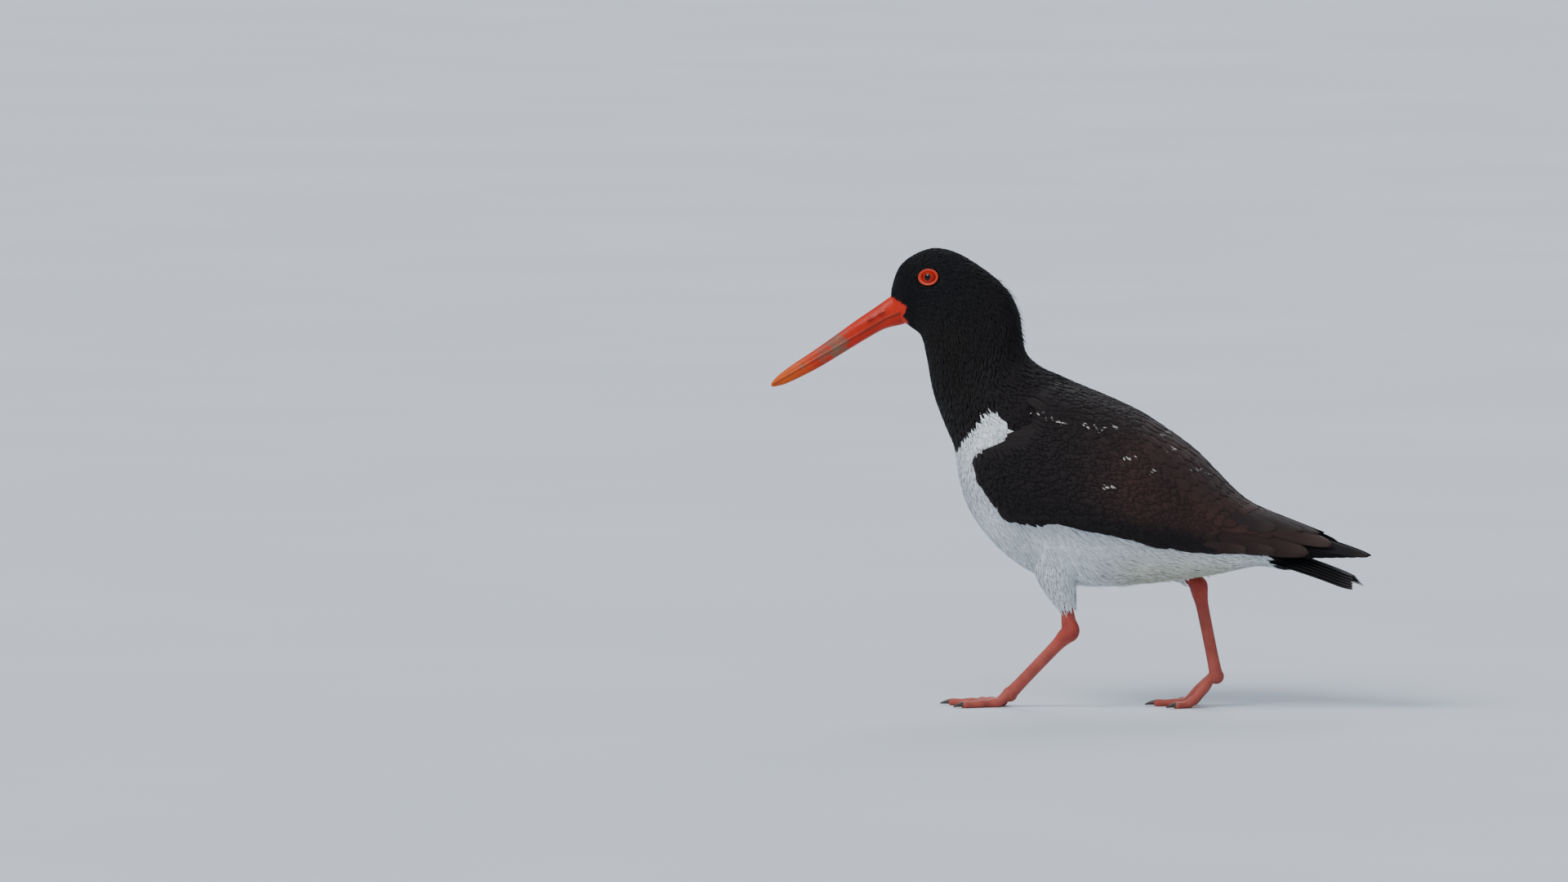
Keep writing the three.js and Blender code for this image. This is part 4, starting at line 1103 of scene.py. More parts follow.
def covert_rows():
    """Root and tip places of the middle and large feathers of the folded wing."""
    roots, tips = [], []
    total = (len(WING_ROWS) - 1) * ROW_STEPS
    for r in range(total + 1):
        f = r / ROW_STEPS
        i = min(int(f), len(WING_ROWS) - 2)
        t = f - i
        root_run = np.array(WING_ROWS[i][0]) * (1 - t) + np.array(WING_ROWS[i + 1][0]) * t
        tip_run = np.array(WING_ROWS[i][1]) * (1 - t) + np.array(WING_ROWS[i + 1][1]) * t
        for k in range(ROW_COUNT + 1):
            share = min((k + 0.5 * (r % 2)) / ROW_COUNT, 1)
            jitter = rng.uniform(-1, 1, 4) * COVERT_STRAY
            root = on_run(root_run, share) + jitter[:2]
            tip = on_run(tip_run, share) + jitter[2:]
            roots.append(ENVELOPE.place(*root))
            tips.append(ENVELOPE.place(*tip))
    return np.array(roots), np.array(tips)


def scapular_rows():
    """Root and tip places of the feathers over the shoulder, up to the middle of the back."""
    roots, tips = [], []
    for row in range(SCAPULAR_ROWS):
        for k in range(SCAPULAR_COUNT):
            u = 0.5 + row * 0.42 + rng.uniform(-0.1, 0.1)
            v = -0.02 + (k + 0.5 * (row % 2)) * 0.125 + rng.uniform(-0.02, 0.02)
            roots.append((u, v))
            tips.append((u + 1.5 + 0.035 * row, v + 0.02 + 0.005 * row))
    return np.array(roots), np.array(tips)


def edge_row():
    """Root and tip places of the small uneven feathers along the wing's lower edge."""
    line = np.array(EDGE_LINE, float)
    roots, tips = [], []
    for k in range(EDGE_COUNT):
        tip = on_run(line, k / (EDGE_COUNT - 1)) + rng.uniform(-1, 1, 2) * [1.4, 0.9]
        root = tip + [rng.uniform(-14, -10), rng.uniform(4.6, 7.4)]
        roots.append(ENVELOPE.place(*root))
        tips.append(ENVELOPE.place(*tip))
    return np.array(roots), np.array(tips)


# The front of the folded wing, in side view, which small feathers cover closely.
SHOULDER_OUTLINE = [
    (-49, 141.5), (-47, 134), (-43.4, 126.4), (-38, 119.6), (-31, 113.2), (-24, 109.8),
    (-8, 110), (14, 111.6), (30, 108.2), (52, 103), (72, 98.8), (88, 98), (60, 130),
    (34, 158), (24, 190), (-12, 192), (-10, 176), (-16, 160), (-23, 152.4), (-33, 149.6),
    (-43, 147), (-47.6, 144.4),
]
SHOULDER_SPACING = 1.7


def make_shoulder(name, sided):
    """Small feathers that lie closely over the front and the middle of the wing."""

    def inside(at):
        return inside_polygon(at[:, 0], at[:, 2], SHOULDER_OUTLINE)

    u, v = scatter(ENVELOPE, (0, 8), (-0.03, 2.9), SHOULDER_SPACING, inside)
    at = ENVELOPE.point(u, v)
    count = len(u)
    back = smooth((at[:, 0] + 45) / 110)
    size = rng.uniform(0.9, 1.15, count) * (0.8 + 0.9 * back)
    grids = lay_vanes(
        ENVELOPE, u, v, rng.normal(-0.06, 0.1, count), 9.6 * size, 1.6 * size,
        -1.7, rng.uniform(-0.05, 0.05, count) + 0.1,
        rows=4, columns=3, camber=0.08, thick=0.12, point=0.5, start=0.6, power=0.5,
    )
    tips = grids[:, 0, -2].mean(axis=1)
    tint = wing_tint(tips) * rng.uniform(0.88, 1.1, (count, 1))
    places = [wing_patches(np.column_stack([u, v]))]
    node = f"wing_{name}"
    feather_piece(f"{node}_shoulder", [sided(grids)], [tint], places, [node], "brown_feathers")


def make_specks(name, sided):
    """Small pale flakes in spots on the shoulder and the back."""
    at = np.repeat(np.array(SPECKS, float), FLAKES, axis=0)
    count = len(at)
    at += rng.normal(0, 0.9, (count, 2)) * [1.8, 0.8]
    roots = np.array([ENVELOPE.place(*p) for p in at])
    size = rng.uniform(0.2, 1.0, count) ** 1.5
    grids = lay_vanes(
        ENVELOPE, *roots.T, rng.normal(0, 0.35, count),
        0.6 + 2.0 * size, 0.16 + 0.42 * size, 0.1, 0.3,
        rows=3, columns=3, camber=0.03, thick=0.1, point=0.4, start=0.6, power=0.6,
    )
    tint = SPECK_PALE * rng.uniform(0.12, 1.0, (count, 1)) ** 1.5
    places = [wing_patches(roots)]
    node = f"wing_{name}"
    feather_piece(f"{node}_specks", [sided(grids)], [tint], places, [node], "brown_feathers")


TERTIALS = [
    # root, end, half width
    ((58, 106), (106, 91.4), 5.6),
    ((64, 113), (122, 90.6), 6.0),
    ((70, 119), (139.4, 89.4), 6.6),
    ((76, 126), (151.4, 94.2), 6.6),
]
INNER_TERTIALS = [
    ((6.6, 0.62), (10.4, 0.78)),
    ((7.2, 0.4), (11.0, 0.52)),
    ((7.8, 0.2), (11.4, 0.3)),
]
PRIMARIES = 6
PRIMARY_ROOT = np.array([106, -15, 103])
PRIMARY_ACROSS = np.array([0, -0.78, -0.62])
PRIMARY_UNDER = np.array([-0.15, 0.61, -0.77])
# Colours of tertials, inner tertials and primaries, and how far their ends turn pale.
FLIGHT_COLOURS = [(TERTIAL_BROWN, 0.35), (WING_BROWN, 0.2), (WING_DARK, 0.15)]
FLIGHT_PALE = [0.07, 0.045, 0.036]


def make_wing(side, name):
    """All feathers of one folded wing, and the body under them, darkened as painted shade."""

    def sided(grid):
        return grid if side == LEFT else mirrored_grid(grid)

    def group(places, halves, low, highs, shades, **shape):
        """Feathers between places, with their colours and their places on the unwrap."""
        roots, tips = places
        at = ENVELOPE.point(*tips.T)
        half, high = halves(roots, at), rng.uniform(*highs, len(at))
        grids = param_vanes(roots, tips, half, low, high, 7, 5, thick=0.18, power=0.5, **shape)
        tint = wing_tint(at) * rng.uniform(*shades, (len(at), 1))
        return sided(grids), tint, wing_patches(roots)

    groups = [
        group(
            covert_rows(), lambda roots, at: 3.0 + 1.4 * smooth((at[:, 0] + 20) / 110),
            -2.2, (-0.25, -0.05), (0.9, 1.12), camber=0.16, roll=0.012, fray=0.5,
        ),
        group(
            scapular_rows(), lambda roots, at: 2.8 + 2.0 * smooth(roots[:, 0] / 6),
            -1.8, (-0.1, 0.1), (0.88, 1.1), camber=0.16, fray=0.5,
        ),
        group(
            edge_row(), lambda roots, at: rng.uniform(2.0, 3.0, len(at)),
            -1.4, (-0.1, 0.2), (0.88, 1.15), camber=0.2, fray=0.9,
        ),
    ]
    node = f"wing_{name}"
    feather_piece(f"{node}_coverts", *zip(*groups), [node], "brown_feathers")
    make_shoulder(name, sided)
    make_specks(name, sided)
    make_flight(name, sided)
    make_wing_pad(side, name)


def pale_ended(base, shades, pale, share, count):
    """Colours of feathers whose ends turn pale by a share."""
    shade = rng.uniform(*shades, (count, 1))
    return np.column_stack([base * shade, np.tile(pale, (count, 1)), np.full(count, share)])


def strip_places(start, count, total):
    """Places of feathers that stand side by side on an unwrap."""
    k = np.arange(start, start + count)
    return np.stack([(k + 0.5) / total, np.full(len(k), 0.5)], -1)


def make_flight(name, sided):
    """Tertials and primaries, the long feathers at the wing's end."""
    roots = [ENVELOPE.place(*r) for r, _, _ in TERTIALS]
    tips = [ENVELOPE.place(*e) for _, e, _ in TERTIALS]
    halves = [h for _, _, h in TERTIALS]
    long_vane = dict(camber=0.4, point=0.78, thick=0.45)
    tertials = param_vanes(roots, tips, halves, -2.6, 0.2, 16, 9, roll=0.06, **long_vane)
    i_roots = [r for r, _ in INNER_TERTIALS]
    i_tips = [t for _, t in INNER_TERTIALS]
    inner = param_vanes(i_roots, i_tips, 6.6, -1.6, 0.2, 16, 9, **long_vane)
    p_roots, p_tips = [], []
    for i in range(PRIMARIES):
        shift = PRIMARY_ACROSS * 0.8 * i + PRIMARY_UNDER * 0.72 * i
        p_roots.append(PRIMARY_ROOT + shift)
        tip = np.array([WING_TIP[0] - 5.6 * i, -3.6 - 0.6 * i, WING_TIP[1] + 1.0 * i + 0.6])
        p_tips.append(tip + shift)
    blades = straight_vanes(
        p_roots, p_tips, [PRIMARY_ACROSS] * PRIMARIES, [5.4] * PRIMARIES,
        rows=16, columns=7, point=0.45, thick=0.4,
    )
    groups = [tertials, inner, blades]
    tints, patches, start = [], [], 0
    total = sum(len(g) for g in groups)
    for grid, (base, share) in zip(groups, FLIGHT_COLOURS):
        tints.append(pale_ended(base, (0.75, 1.05), FLIGHT_PALE, share, len(grid)))
        patches.append(strip_places(start, len(grid), total))
        start += len(grid)
    node, grids = f"wing_{name}", [sided(g) for g in groups]
    patch = (0.8 / total, 0.9)
    feather_piece(f"{node}_flight", grids, tints, patches, [node], "brown_feathers", patch)


def make_wing_pad(side, name):
    """The body of the folded wing under its feathers, darkened as painted shade."""
    us = np.linspace(0.0, 10.6, 76)
    vs = np.linspace(0.02, 2.75, 56)
    u, v = np.meshgrid(us, vs, indexing="ij")
    at = ENVELOPE.point(u, v)
    out = ENVELOPE.lie(u, v)[2]
    at = at - out * 2.1
    inside = inside_polygon(at[..., 0], at[..., 2], PAD_OUTLINE)
    at[..., 1] = np.minimum(at[..., 1], -0.4)
    inner = at - out * 0.8
    points = np.concatenate([at.reshape(-1, 3), inner.reshape(-1, 3)])
    nu, nv = u.shape
    cell = np.zeros((nu - 1, nv), bool)
    cell[:, :-1] = inside[:-1, :-1] & inside[1:, :-1] & inside[:-1, 1:] & inside[1:, 1:]
    if side == RIGHT:
        points = points * SIDE_FLIP[RIGHT]
    obj = new_object(f"wing_{name}_pad", points, shell_faces(cell, nu, nv))
    fix_normals(obj, drop_loose=True)
    points = points_of(obj)
    # The pad takes the wing colours at 0.7 as painted shade between the feathers.
    add_colours(obj, "tint", wing_tint(points) * 0.7)
    declare(obj, SKIN, "brown_feathers", f"wing_{name}")


# Tail

TAIL_PAIRS = 6
TAIL_BLACK = np.array([0.007, 0.0065, 0.007])
TAIL_PALE = [0.05, 0.04, 0.038]
# x, y and z of roots and ends: at the middle pair, and the change from there to the outer pair.
TAIL_ROOT = [(114, 3), (2.6, 5.4), (92.4, -8.6)]
TAIL_END = [(163, 2), (3.8, 13.6), (75.8, -6)]
TAIL_LAP = 1.1  # by which feathers of the right side lie under those of the left


def make_tail():
    """Pairs of tail feathers, each further out lower than the one before."""

    def spot(places, f, side, lower):
        x, y, z = (first + change * f for first, change in places)
        return [x, side * y, z - lower]

    roots, tips, ways = [], [], []
    for k in range(TAIL_PAIRS):
        f = k / (TAIL_PAIRS - 1)
        for side in (LEFT, RIGHT):
            lower = TAIL_LAP if side == RIGHT else 0.0
            roots.append(spot(TAIL_ROOT, f, side, lower))
            tips.append(spot(TAIL_END, f, side, 0.5 * lower))
            ways.append([0, side, -0.12 * f])
    count = len(roots)
    grids = straight_vanes(
        roots, tips, ways, [5.6] * count,
        rows=16, columns=7, point=0.82, sag=1.0, thick=0.4, camber=0.25,
    )
    tint = pale_ended(TAIL_BLACK, (0.85, 1.2), TAIL_PALE, 0.4, count)
    place = strip_places(0, count, count)
    patch = (0.8 / count, 0.9)
    feather_piece("tail_feathers", [grids], [tint], [place], ["tail"], "black_feathers", patch)


# Bill

BILL_STATIONS = np.array(
    [
        # top x and z, under x and z, half width, where it is widest
        [-98.6, 232.6, -90.4, 217.4, 6.0, 0.48],
        [-103, 229.4, -95, 214.2, 5.9, 0.48],
        [-112.4, 222.8, -106, 211.2, 5.2, 0.48],
        [-123, 215.6, -117, 205.2, 4.6, 0.48],
        [-136, 206.2, -130.8, 196.8, 4.0, 0.48],
        [-148, 197.8, -143, 189.4, 3.5, 0.48],
        [-158, 191.2, -154, 183.6, 3.0, 0.48],
        [-165.4, 185.8, -162.6, 179.6, 2.3, 0.48],
        [-169.6, 182, -168, 178, 1.6, 0.48],
        [-171.6, 179.4, -171, 177.6, 0.9, 0.48],
    ]
)
BILL_FULLNESS = 2.3
BILL_RED = np.array([0.5, 0.015, 0.0006])
# Near-black red of the painted shade in the bill's grooves.
BILL_GROOVE_SHADE = np.array([0.2, 0.006, 0.002])
BILL_TIP_COLOUR = np.array([0.56, 0.085, 0.002])
STAIN_BROWN = np.array([0.14, 0.1, 0.06])
MOUTH_BROWN = np.array([0.2, 0.03, 0.008])
GAPE = np.array([-93.5, 223.8])
BILL_TIP = np.array([-171.7, 178.2])
BILL_STAINS = [
    # place in side view, reach, strength
    ((-133, 203.5), 7.5, 0.7), ((-141, 197), 5, 0.5),
    ((-133, 197.5), 5, 0.6), ((-153, 189.5), 1.8, 0.5),
]
NOSTRIL = (-110, 218.4)
NOSTRIL_WAY = math.radians(30)


def make_bill(material):
    """The bill's horn, with the line of the mouth, the nostrils and thin stains."""
    bill = Loft(BILL_STATIONS, BILL_FULLNESS)
    us = np.linspace(-0.6, bill.last, 190)
    sides = 88
    gu, gv = np.meshgrid(us, angles(sides), indexing="ij")
    at = bill.point(gu, gv)
    out = bill.lie(gu, gv)[2]
    # The line of the mouth is a narrow groove from gape to tip, a little lower near the gape.
    way = (BILL_TIP - GAPE) / np.linalg.norm(BILL_TIP - GAPE)
    rel = at[..., [0, 2]] - GAPE
    run = rel @ way
    off = rel @ np.array([way[1], -way[0]]) + 1.6 * smooth((15 - run) / 15)
    mouth = np.exp(-((off / 0.55) ** 2)) * smooth((run + 3) / 4) * smooth((90 - run) / 3)
    dull = np.exp(-((off / 1.1) ** 2)) * smooth((46 - run) / 26) * 0.6
    # The nostril is a slit in a shallow trough.
    rel = at[..., [0, 2]] - np.array(NOSTRIL)
    ahead = np.array([-math.cos(NOSTRIL_WAY), -math.sin(NOSTRIL_WAY)])
    across = np.array([math.sin(NOSTRIL_WAY), -math.cos(NOSTRIL_WAY)])
    n_run, n_off = rel @ ahead, rel @ across
    slit = np.exp(-((n_off / 0.42) ** 2)) * smooth((6.2 - np.abs(n_run)) / 1.6)
    slit = slit * (1 - 0.6 * np.exp(-((n_run / 2.0) ** 2)))
    trough = np.exp(-((n_off / 1.9) ** 2)) * smooth((15 - np.abs(n_run - 5)) / 8)
    at = at - out * (mouth * 0.6 + slit * 1.1 + trough * 0.35)[..., None]
    t = np.clip(run / 90, 0, 1)[..., None]
    colour = BILL_RED * (1 - smooth((t - 0.55) / 0.4)) + BILL_TIP_COLOUR * smooth((t - 0.55) / 0.4)
    colour = colour * (1 - dull[..., None]) + MOUTH_BROWN * dull[..., None]
    # The mouth line, the nostril slit and its trough are darkened in colour as painted shade.
    groove_shade = (0.5 * mouth + 0.8 * slit + 0.12 * trough)[..., None]
    colour = colour * (1 - groove_shade) + BILL_GROOVE_SHADE * 0.4 * groove_shade
    for place, reach, strength in BILL_STAINS:
        rel = at[..., [0, 2]] - np.array(place)
        stain = np.exp(-np.sum(rel**2, -1) / reach**2 * 1.2) + 0.28 * wave(at, 1.6, place[0]) - 0.2
        stain = (smooth(stain / 0.5) * strength)[..., None]
        colour = colour * (1 - stain) + STAIN_BROWN * stain
    obj = new_object("bill", at.reshape(-1, 3), ring_faces(len(us), sides))
    fix_normals(obj)
    add_colours(obj, "tint", colour.reshape(-1, 3))
    declare(obj, material, "bill", "bill_upper", "bill_lower")
    make_bill_base(material)


def make_bill_base(material):
    """Bare horn that widens from the bill to where the feathers of the face begin."""
    us, vs = np.linspace(-0.2, 3.2, 150), np.linspace(0, 2 * math.pi, 181)[:-1]
    u, v = np.meshgrid(us, vs, indexing="ij")
    out = BODY.lie(u, v)[2]
    top = BODY.point(u, v) + out * (0.06 - coat_depth(u))[..., None]
    inside = inside_polygon(top[..., 0], top[..., 2], BASE_OUTLINE)
    nu, nv = u.shape
    points = np.concatenate([top.reshape(-1, 3), (top - out * 0.5).reshape(-1, 3)])
    after = np.roll(inside, -1, axis=1)
    cell = inside[:-1] & inside[1:] & after[:-1] & after[1:]
    obj = new_object("bill_base", points, shell_faces(cell, nu, nv))
    fix_normals(obj, drop_loose=True)
    add_colours(obj, "tint", np.tile(BILL_RED, (len(obj.data.vertices), 1)))
    declare(obj, material, "bill", "bill_upper", "bill_lower")


def shell_faces(cell, nu, nv):
    """Faces of a closed thin shell over the chosen cells of a grid that closes round on itself."""
    faces, base = [], nu * nv

    def has(r, i):
        return 0 <= r < nu - 1 and cell[r, i % nv]

    for r, i in zip(*np.nonzero(cell)):
        a, b = r * nv + i, r * nv + (i + 1) % nv
        c, d = a + nv, b + nv
        faces.append((a, c, d, b))
        faces.append((a + base, b + base, d + base, c + base))
        for near, p, q in (
            ((r - 1, i), b, a),
            ((r + 1, i), c, d),
            ((r, i - 1), a, c),
            ((r, i + 1), d, b),
        ):
            if not has(*near):
                faces.append((q, p, p + base, q + base))
    return [tuple(int(k) for k in f) for f in faces]


# Eyes

EYE_PROUD = 1.3
RING_HALF = 0.95
PUPIL_RADIUS, RIM_RADIUS = 2.05, 3.7
IRIS = np.array([0.24, 0.003, 0.0005])
IRIS_INNER = np.array([0.4, 0.013, 0.0008])


def make_eye(side, name, ball_material, ring_material):
    """Eyeball with iris and pupil, and the bare ring of skin round it."""
    axes = np.stack([EYE_BACK, EYE_UP, EYE_OUT])
    flip = SIDE_FLIP[side]
    rings, sides = 40, 48
    polar = np.linspace(0.001, math.pi * 0.999, rings)
    p, q = np.meshgrid(polar, angles(sides), indexing="ij")
    local = np.stack([np.sin(p) * np.cos(q), np.sin(p) * np.sin(q), np.cos(p)], -1) * EYE_RADIUS
    radius = np.hypot(local[..., 0], local[..., 1])
    cornea = np.exp(-((radius / 2.6) ** 2)) * 0.35 * (local[..., 2] > 0)
    local[..., 2] += cornea + EYE_PROUD - EYE_RADIUS
    at = (EYE_MIDDLE + local @ axes) * flip
    t = smooth((radius - 2.0) / 2.0)[..., None]
    colour = IRIS_INNER * (1 - t) + IRIS * t
    pupil = smooth((PUPIL_RADIUS - np.hypot(local[..., 0], local[..., 1] * 0.9)) / 0.35)[..., None]
    colour = colour * (1 - pupil) + 0.004 * pupil
    rim = smooth((radius - RIM_RADIUS) / 0.6)[..., None]
    colour = colour * (1 - 0.6 * rim)
    ball = new_object(f"eye_{name}_ball", at.reshape(-1, 3), ring_faces(rings, sides))
    fix_normals(ball)
    add_colours(ball, "tint", colour.reshape(-1, 3))
    declare(ball, ball_material, "eye", f"eye_{name}")
    turns, around = 72, 18
    a, b = np.meshgrid(angles(turns), angles(around), indexing="ij")
    wrinkle = 1 + 0.05 * np.sin(a * 23) * np.cos(b) ** 2 * (np.cos(b) > 0)
    reach = RING_HALF * (np.cos(b) * wrinkle - 1)
    inward = (1 - np.cos(b)) / 2
    high = 0.34 * np.sin(b) + 0.2 - 0.75 * inward**1.6
    local = np.stack([(LID_LONG + reach) * np.cos(a), (LID_TALL + reach) * np.sin(a), high], -1)
    at = (EYE_MIDDLE + local @ axes) * flip
    faces = []
    for i in range(turns):
        for k in range(around):
            c, d = i * around + k, i * around + (k + 1) % around
            e, f = (c + around) % (turns * around), (d + around) % (turns * around)
            faces.append((c, d, f, e))
    ring = new_object(f"eye_{name}_ring", at.reshape(-1, 3), faces)
    fix_normals(ring)
    declare(ring, ring_material, "bill", f"eyelid_{name}")


# Legs

TARSUS_LENGTH = 53
TOES = {"middle": (0, 34), "outer": (0.66, 28), "inner": (-0.66, 26)}
TOE_RADIUS = 3.0
TOE_FLAT = 0.5
CLAW_LENGTH = 6.5
LEGS = {
    "left": dict(heel=(5.2, -23, 44), z=7, y=-13, ahead=-1, drop=8, heading=0.06, outward=-1),
    "right": dict(heel=(70.2, 19.6, 67.6), z=17.2, y=9, ahead=1, drop=20, heading=-0.05, outward=1),
}
LEG_RED = np.array([0.4, 0.075, 0.05])
HEEL_RED = np.array([0.36, 0.035, 0.022])


def knuckle_of(leg):
    dy, dz = leg["y"] - leg["heel"][1], leg["z"] - leg["heel"][2]
    dx = math.sqrt(TARSUS_LENGTH**2 - dy**2 - dz**2)
    return np.array([leg["heel"][0] + leg["ahead"] * dx, leg["y"], leg["z"]])


def shank_tube(name, leg):
    thigh = np.array(THIGHS[name][0], float)
    heel = np.array(leg["heel"], float)
    knuckle = knuckle_of(leg)
    top = thigh[2] + (thigh[1] - thigh[2]) * 0.25

    def between(a, b, t):
        return a + (b - a) * t

    stations = [
        (top, 3.4, 3.1),
        (thigh[2], 3.4, 3.1),
        (between(heel, top, 0.3), 4.2, 3.9),
        (heel, 5.3, 4.56),
        (between(heel, knuckle, 0.1), 4.6, 4.0),
        (between(heel, knuckle, 0.22), 3.7, 3.1),
        (between(heel, knuckle, 0.5), 3.5, 2.9),
        (between(heel, knuckle, 0.8), 3.5, 3.1),
        (between(heel, knuckle, 0.97), 3.8, 3.8),
    ]
    centres = np.array([s[0] for s in stations])
    return Tube(centres, [s[1] for s in stations], [s[2] for s in stations])


def toe_line(leg, knuckle, turn, length):
    high = TOE_RADIUS - TOE_FLAT
    yaw = leg["heading"] + turn
    way = np.array([-math.cos(yaw), math.sin(yaw), 0])

    def point(s):
        t = float(smooth(s / leg["drop"]))
        z = knuckle[2] + (high * (1 - 0.3 * s / length) - knuckle[2]) * t
        return np.array([knuckle[0], knuckle[1], z]) + way * s

    return point, way


def make_leg(name, leg, skin_of_legs, horn):
    knuckle = knuckle_of(leg)
    tube = shank_tube(name, leg)
    us = np.linspace(0, tube.last, 90)
    parts = [new_object("shank", surface_rings(tube, us, 28).reshape(-1, 3), ring_faces(90, 28))]
    for toe, (turn, length) in TOES.items():
        point, way = toe_line(leg, knuckle, leg["outward"] * turn, length)
        s = np.linspace(0, length, 15)
        pads = 1 + 0.1 * np.cos(s / length * 6 * math.pi)
        radius = TOE_RADIUS * (1 - 0.3 * s / length) * pads
        line = np.array([point(q) for q in s])
        toe_tube = Tube(line, radius, radius * 1.12, (0, 0, 1))
        tus = np.linspace(0, toe_tube.last, 60)
        points = surface_rings(toe_tube, tus, 24).reshape(-1, 3)
        points[:, 2] = np.maximum(points[:, 2], 0.0)
        parts.append(new_object("toe", points, ring_faces(60, 24)))
        parts.append(ball("toe_end", line[-1] - way * 0.4, radius[-1] * 0.98))
        make_claw(f"claw_{name}_{toe}", point(length), way, horn)
    parts.append(ball("knuckle", knuckle, 4.4))
    parts.append(web(leg, knuckle))
    for obj in parts:
        fix_normals(obj)
    foot = fused(f"leg_{name}_skin", parts, 0.55, 3)
    at = points_of(foot)
    at[:, 2] = np.maximum(at[:, 2], 0.0)
    foot.data.vertices.foreach_set("co", (at * MM).astype(np.float32).ravel())
    heel = np.exp(-np.sum((at - np.array(leg["heel"])) ** 2, -1) / 12**2)[:, None]
    colour = LEG_RED * (1 - heel) + HEEL_RED * heel
    add_colours(foot, "tint", colour)
    declare(foot, skin_of_legs, "leg_skin", f"leg_{name}", f"foot_{name}")


def ball(name, middle, radius):
    mesh = bpy.data.meshes.new(name)
    bm = bmesh.new()
    bmesh.ops.create_icosphere(bm, subdivisions=3, radius=radius * MM)
    bmesh.ops.translate(bm, verts=bm.verts, vec=Vector(np.asarray(middle) * MM))
    bm.to_mesh(mesh)
    bm.free()
    return link_object(name, mesh)


def web(leg, knuckle):
    """The small web between the middle and outer toes."""
    corners = [knuckle]
    for toe in ("middle", "outer"):
        turn, length = TOES[toe]
        point, _ = toe_line(leg, knuckle, leg["outward"] * turn, length)
        corners.append(point(length * 0.42))
    corners = np.array(corners)
    up = np.array([0, 0, 0.8])
    points = np.concatenate([corners - up, corners + up])
    faces = [(0, 1, 2), (3, 5, 4), (0, 3, 4, 1), (1, 4, 5, 2), (2, 5, 3, 0)]
    return new_object("web", points, faces)


def make_claw(name, start, way, horn):
    rings, sides = 14, 16
    t = np.linspace(0, 1, rings)
    centres = start[None] + way[None] * (-1.2 + (CLAW_LENGTH + 1.3) * t)[:, None]
    centres[:, 2] = 2.2 - 1.3 * t * t
    radius = 1.55 * (1 - t) ** 0.8 + 0.3
    tube = Tube(centres, radius, radius, (0, 0, 1))
    points = surface_rings(tube, np.arange(rings, dtype=float), sides).reshape(-1, 3)
    obj = new_object(name + "_horn", points, ring_faces(rings, sides))
    fix_normals(obj)
    declare(obj, horn, "claw", name)


def make_thigh_coat():
    """White feathers of the thighs, hanging a little past their lower ends."""
    for side in THIGHS:
        tube = thigh_tube(side)
        u, v = scatter(tube, (0.6, tube.last - 0.35), (0, 2 * math.pi), 1.05)
        count = len(u)
        size = rng.uniform(0.8, 1.2, count)
        grids = lay_vanes(
            tube, u, v, rng.normal(0, 0.14, count), 7.0 * size, 0.6 * size, -1.6, 0.1,
            rows=3, power=0.6, **TUFT, **SOFT_END,
        )
        tint = np.tile(BELLY_WHITE, (count, 1)) * rng.uniform(0.86, 1.1, (count, 1))
        place = np.stack([0.02 + 0.96 * v / (2 * math.pi), 0.02 + 0.96 * u / tube.last], -1)
        node = f"thigh_{side}"
        feather_piece(f"coat_{node}", [grids], [tint], [place], [node], "white_feathers")


# Stage

PIXEL = 0.46 * MM  # size of a photo pixel at the bird
YAW, RISE = math.radians(12), math.radians(4)
ORIGIN_PIXEL = (1309, 864)
FRAME_WIDE, FRAME_HIGH = 1920, 1080
LENS, SENSOR = 400, 36
FLOOR_REACH = 60  # metres


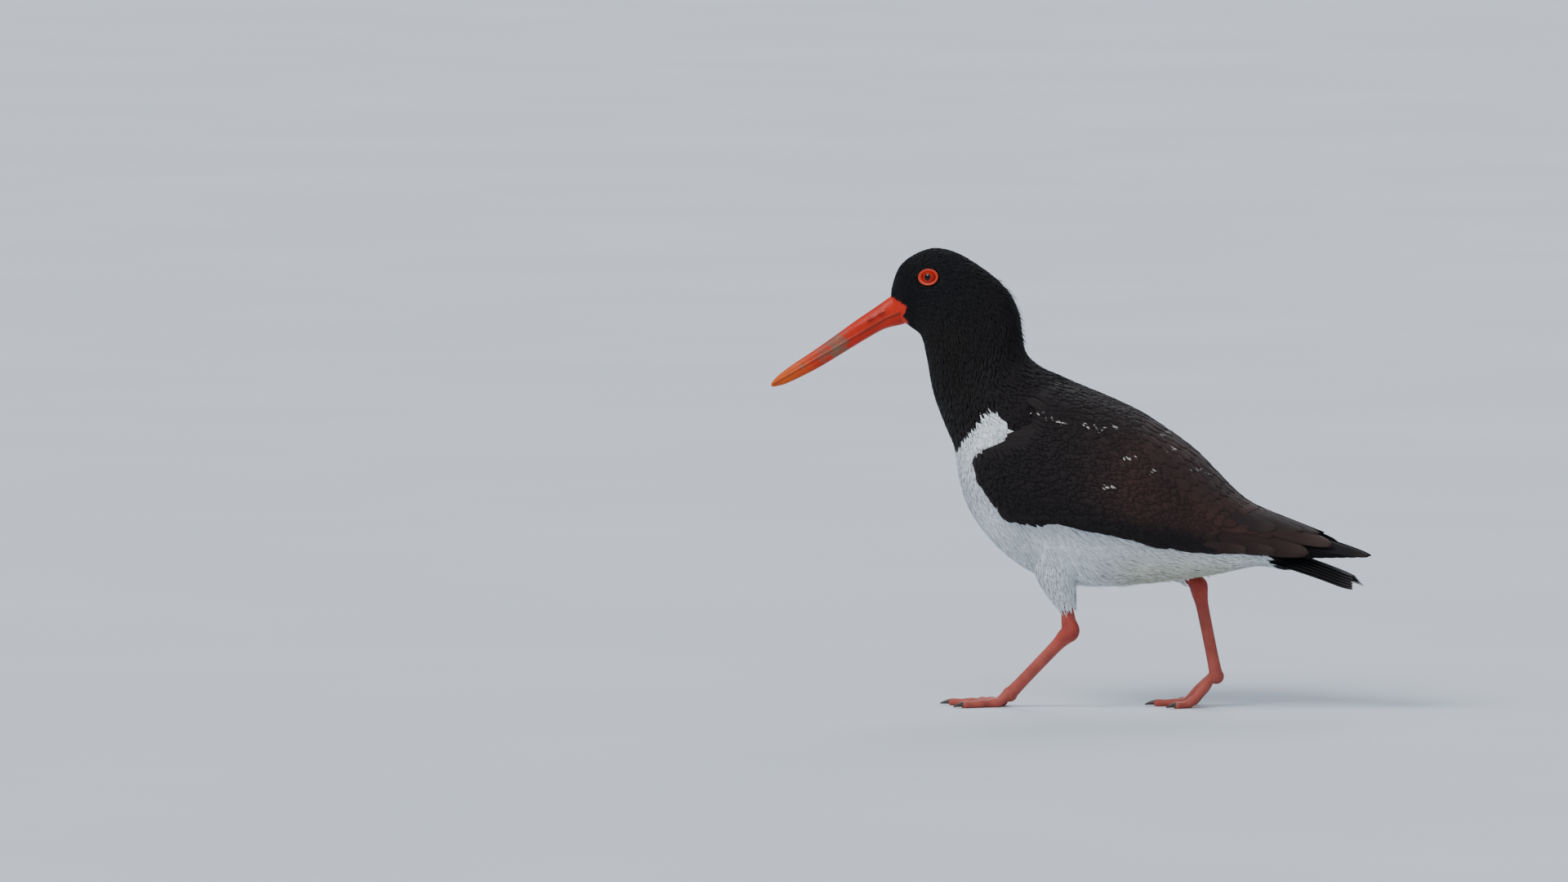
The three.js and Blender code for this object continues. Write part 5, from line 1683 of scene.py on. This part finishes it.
def make_camera():
    cam = link_object("camera", bpy.data.cameras.new("camera"))
    cam.data.lens, cam.data.sensor_width = LENS, SENSOR
    right = Vector((math.cos(YAW), math.sin(YAW), 0))
    back = Vector((math.sin(YAW) * math.cos(RISE), -math.cos(YAW) * math.cos(RISE), math.sin(RISE)))
    up = back.cross(right)
    across, rise = FRAME_WIDE / 2 - ORIGIN_PIXEL[0], ORIGIN_PIXEL[1] - FRAME_HIGH / 2
    target = right * across * PIXEL + up * rise * PIXEL
    distance = FRAME_WIDE * PIXEL * LENS / SENSOR
    cam.location = target + back * distance
    cam.rotation_mode = "QUATERNION"
    cam.rotation_quaternion = (-back).to_track_quat("-Z", "Y")
    cam.data.clip_end = 100
    bpy.context.scene.camera = cam


def make_stage():
    floor = bpy.data.meshes.new("floor")
    corners = [(-1, -1, 0), (1, -1, 0), (1, 1, 0), (-1, 1, 0)]
    floor.from_pydata([Vector(c) * FLOOR_REACH for c in corners], [], [(0, 1, 2, 3)])
    obj = link_object("floor", floor)
    n = Nodes("floor_pale")
    shade = n.ramp(n.noise(3.0, 3.0), [(0.3, (0.56, 0.6, 0.66)), (0.7, (0.6, 0.64, 0.7))])
    pale = n.finished(Base_Color=shade, Roughness=0.7, Specular_IOR_Level=0.2)
    obj.data.materials.append(pale)
    world = bpy.data.worlds.new("studio")
    bpy.context.scene.world = world
    world.use_nodes = True
    world.node_tree.nodes["Background"].inputs["Color"].default_value = (0.62, 0.7, 0.82, 1)
    world.node_tree.nodes["Background"].inputs["Strength"].default_value = 0.75

    def sun(name, way, strength, angle, colour):
        lamp = bpy.data.lights.new(name, "SUN")
        lamp.energy, lamp.angle, lamp.color = strength, math.radians(angle), colour
        light = link_object(name, lamp)
        light.rotation_mode = "QUATERNION"
        light.rotation_quaternion = Vector(way).to_track_quat("-Z", "Y")

    sun("key", (0.55, 0.62, -0.9), 2.6, 30, (1.0, 0.98, 0.95))
    sun("fill", (-0.5, 0.8, -0.4), 0.5, 60, (0.9, 0.95, 1.0))
    sun("rim", (0.1, -0.9, -0.7), 0.8, 30, (0.95, 0.98, 1.0))


make_camera()
make_stage()
make_skin()
make_coat()
make_loose_feathers()
make_placed_feathers()
make_thigh_coat()
for wing_side, wing_name in SIDES:
    make_wing(wing_side, wing_name)
make_tail()
make_bill(bill_material())
BALL, RING = eye_material(), lid_material()
for eye_side, eye_name in SIDES:
    make_eye(eye_side, eye_name, BALL, RING)
SCALES, HORN = leg_material(), claw_material()
for leg_name, leg_values in LEGS.items():
    make_leg(leg_name, leg_values, SCALES, HORN)
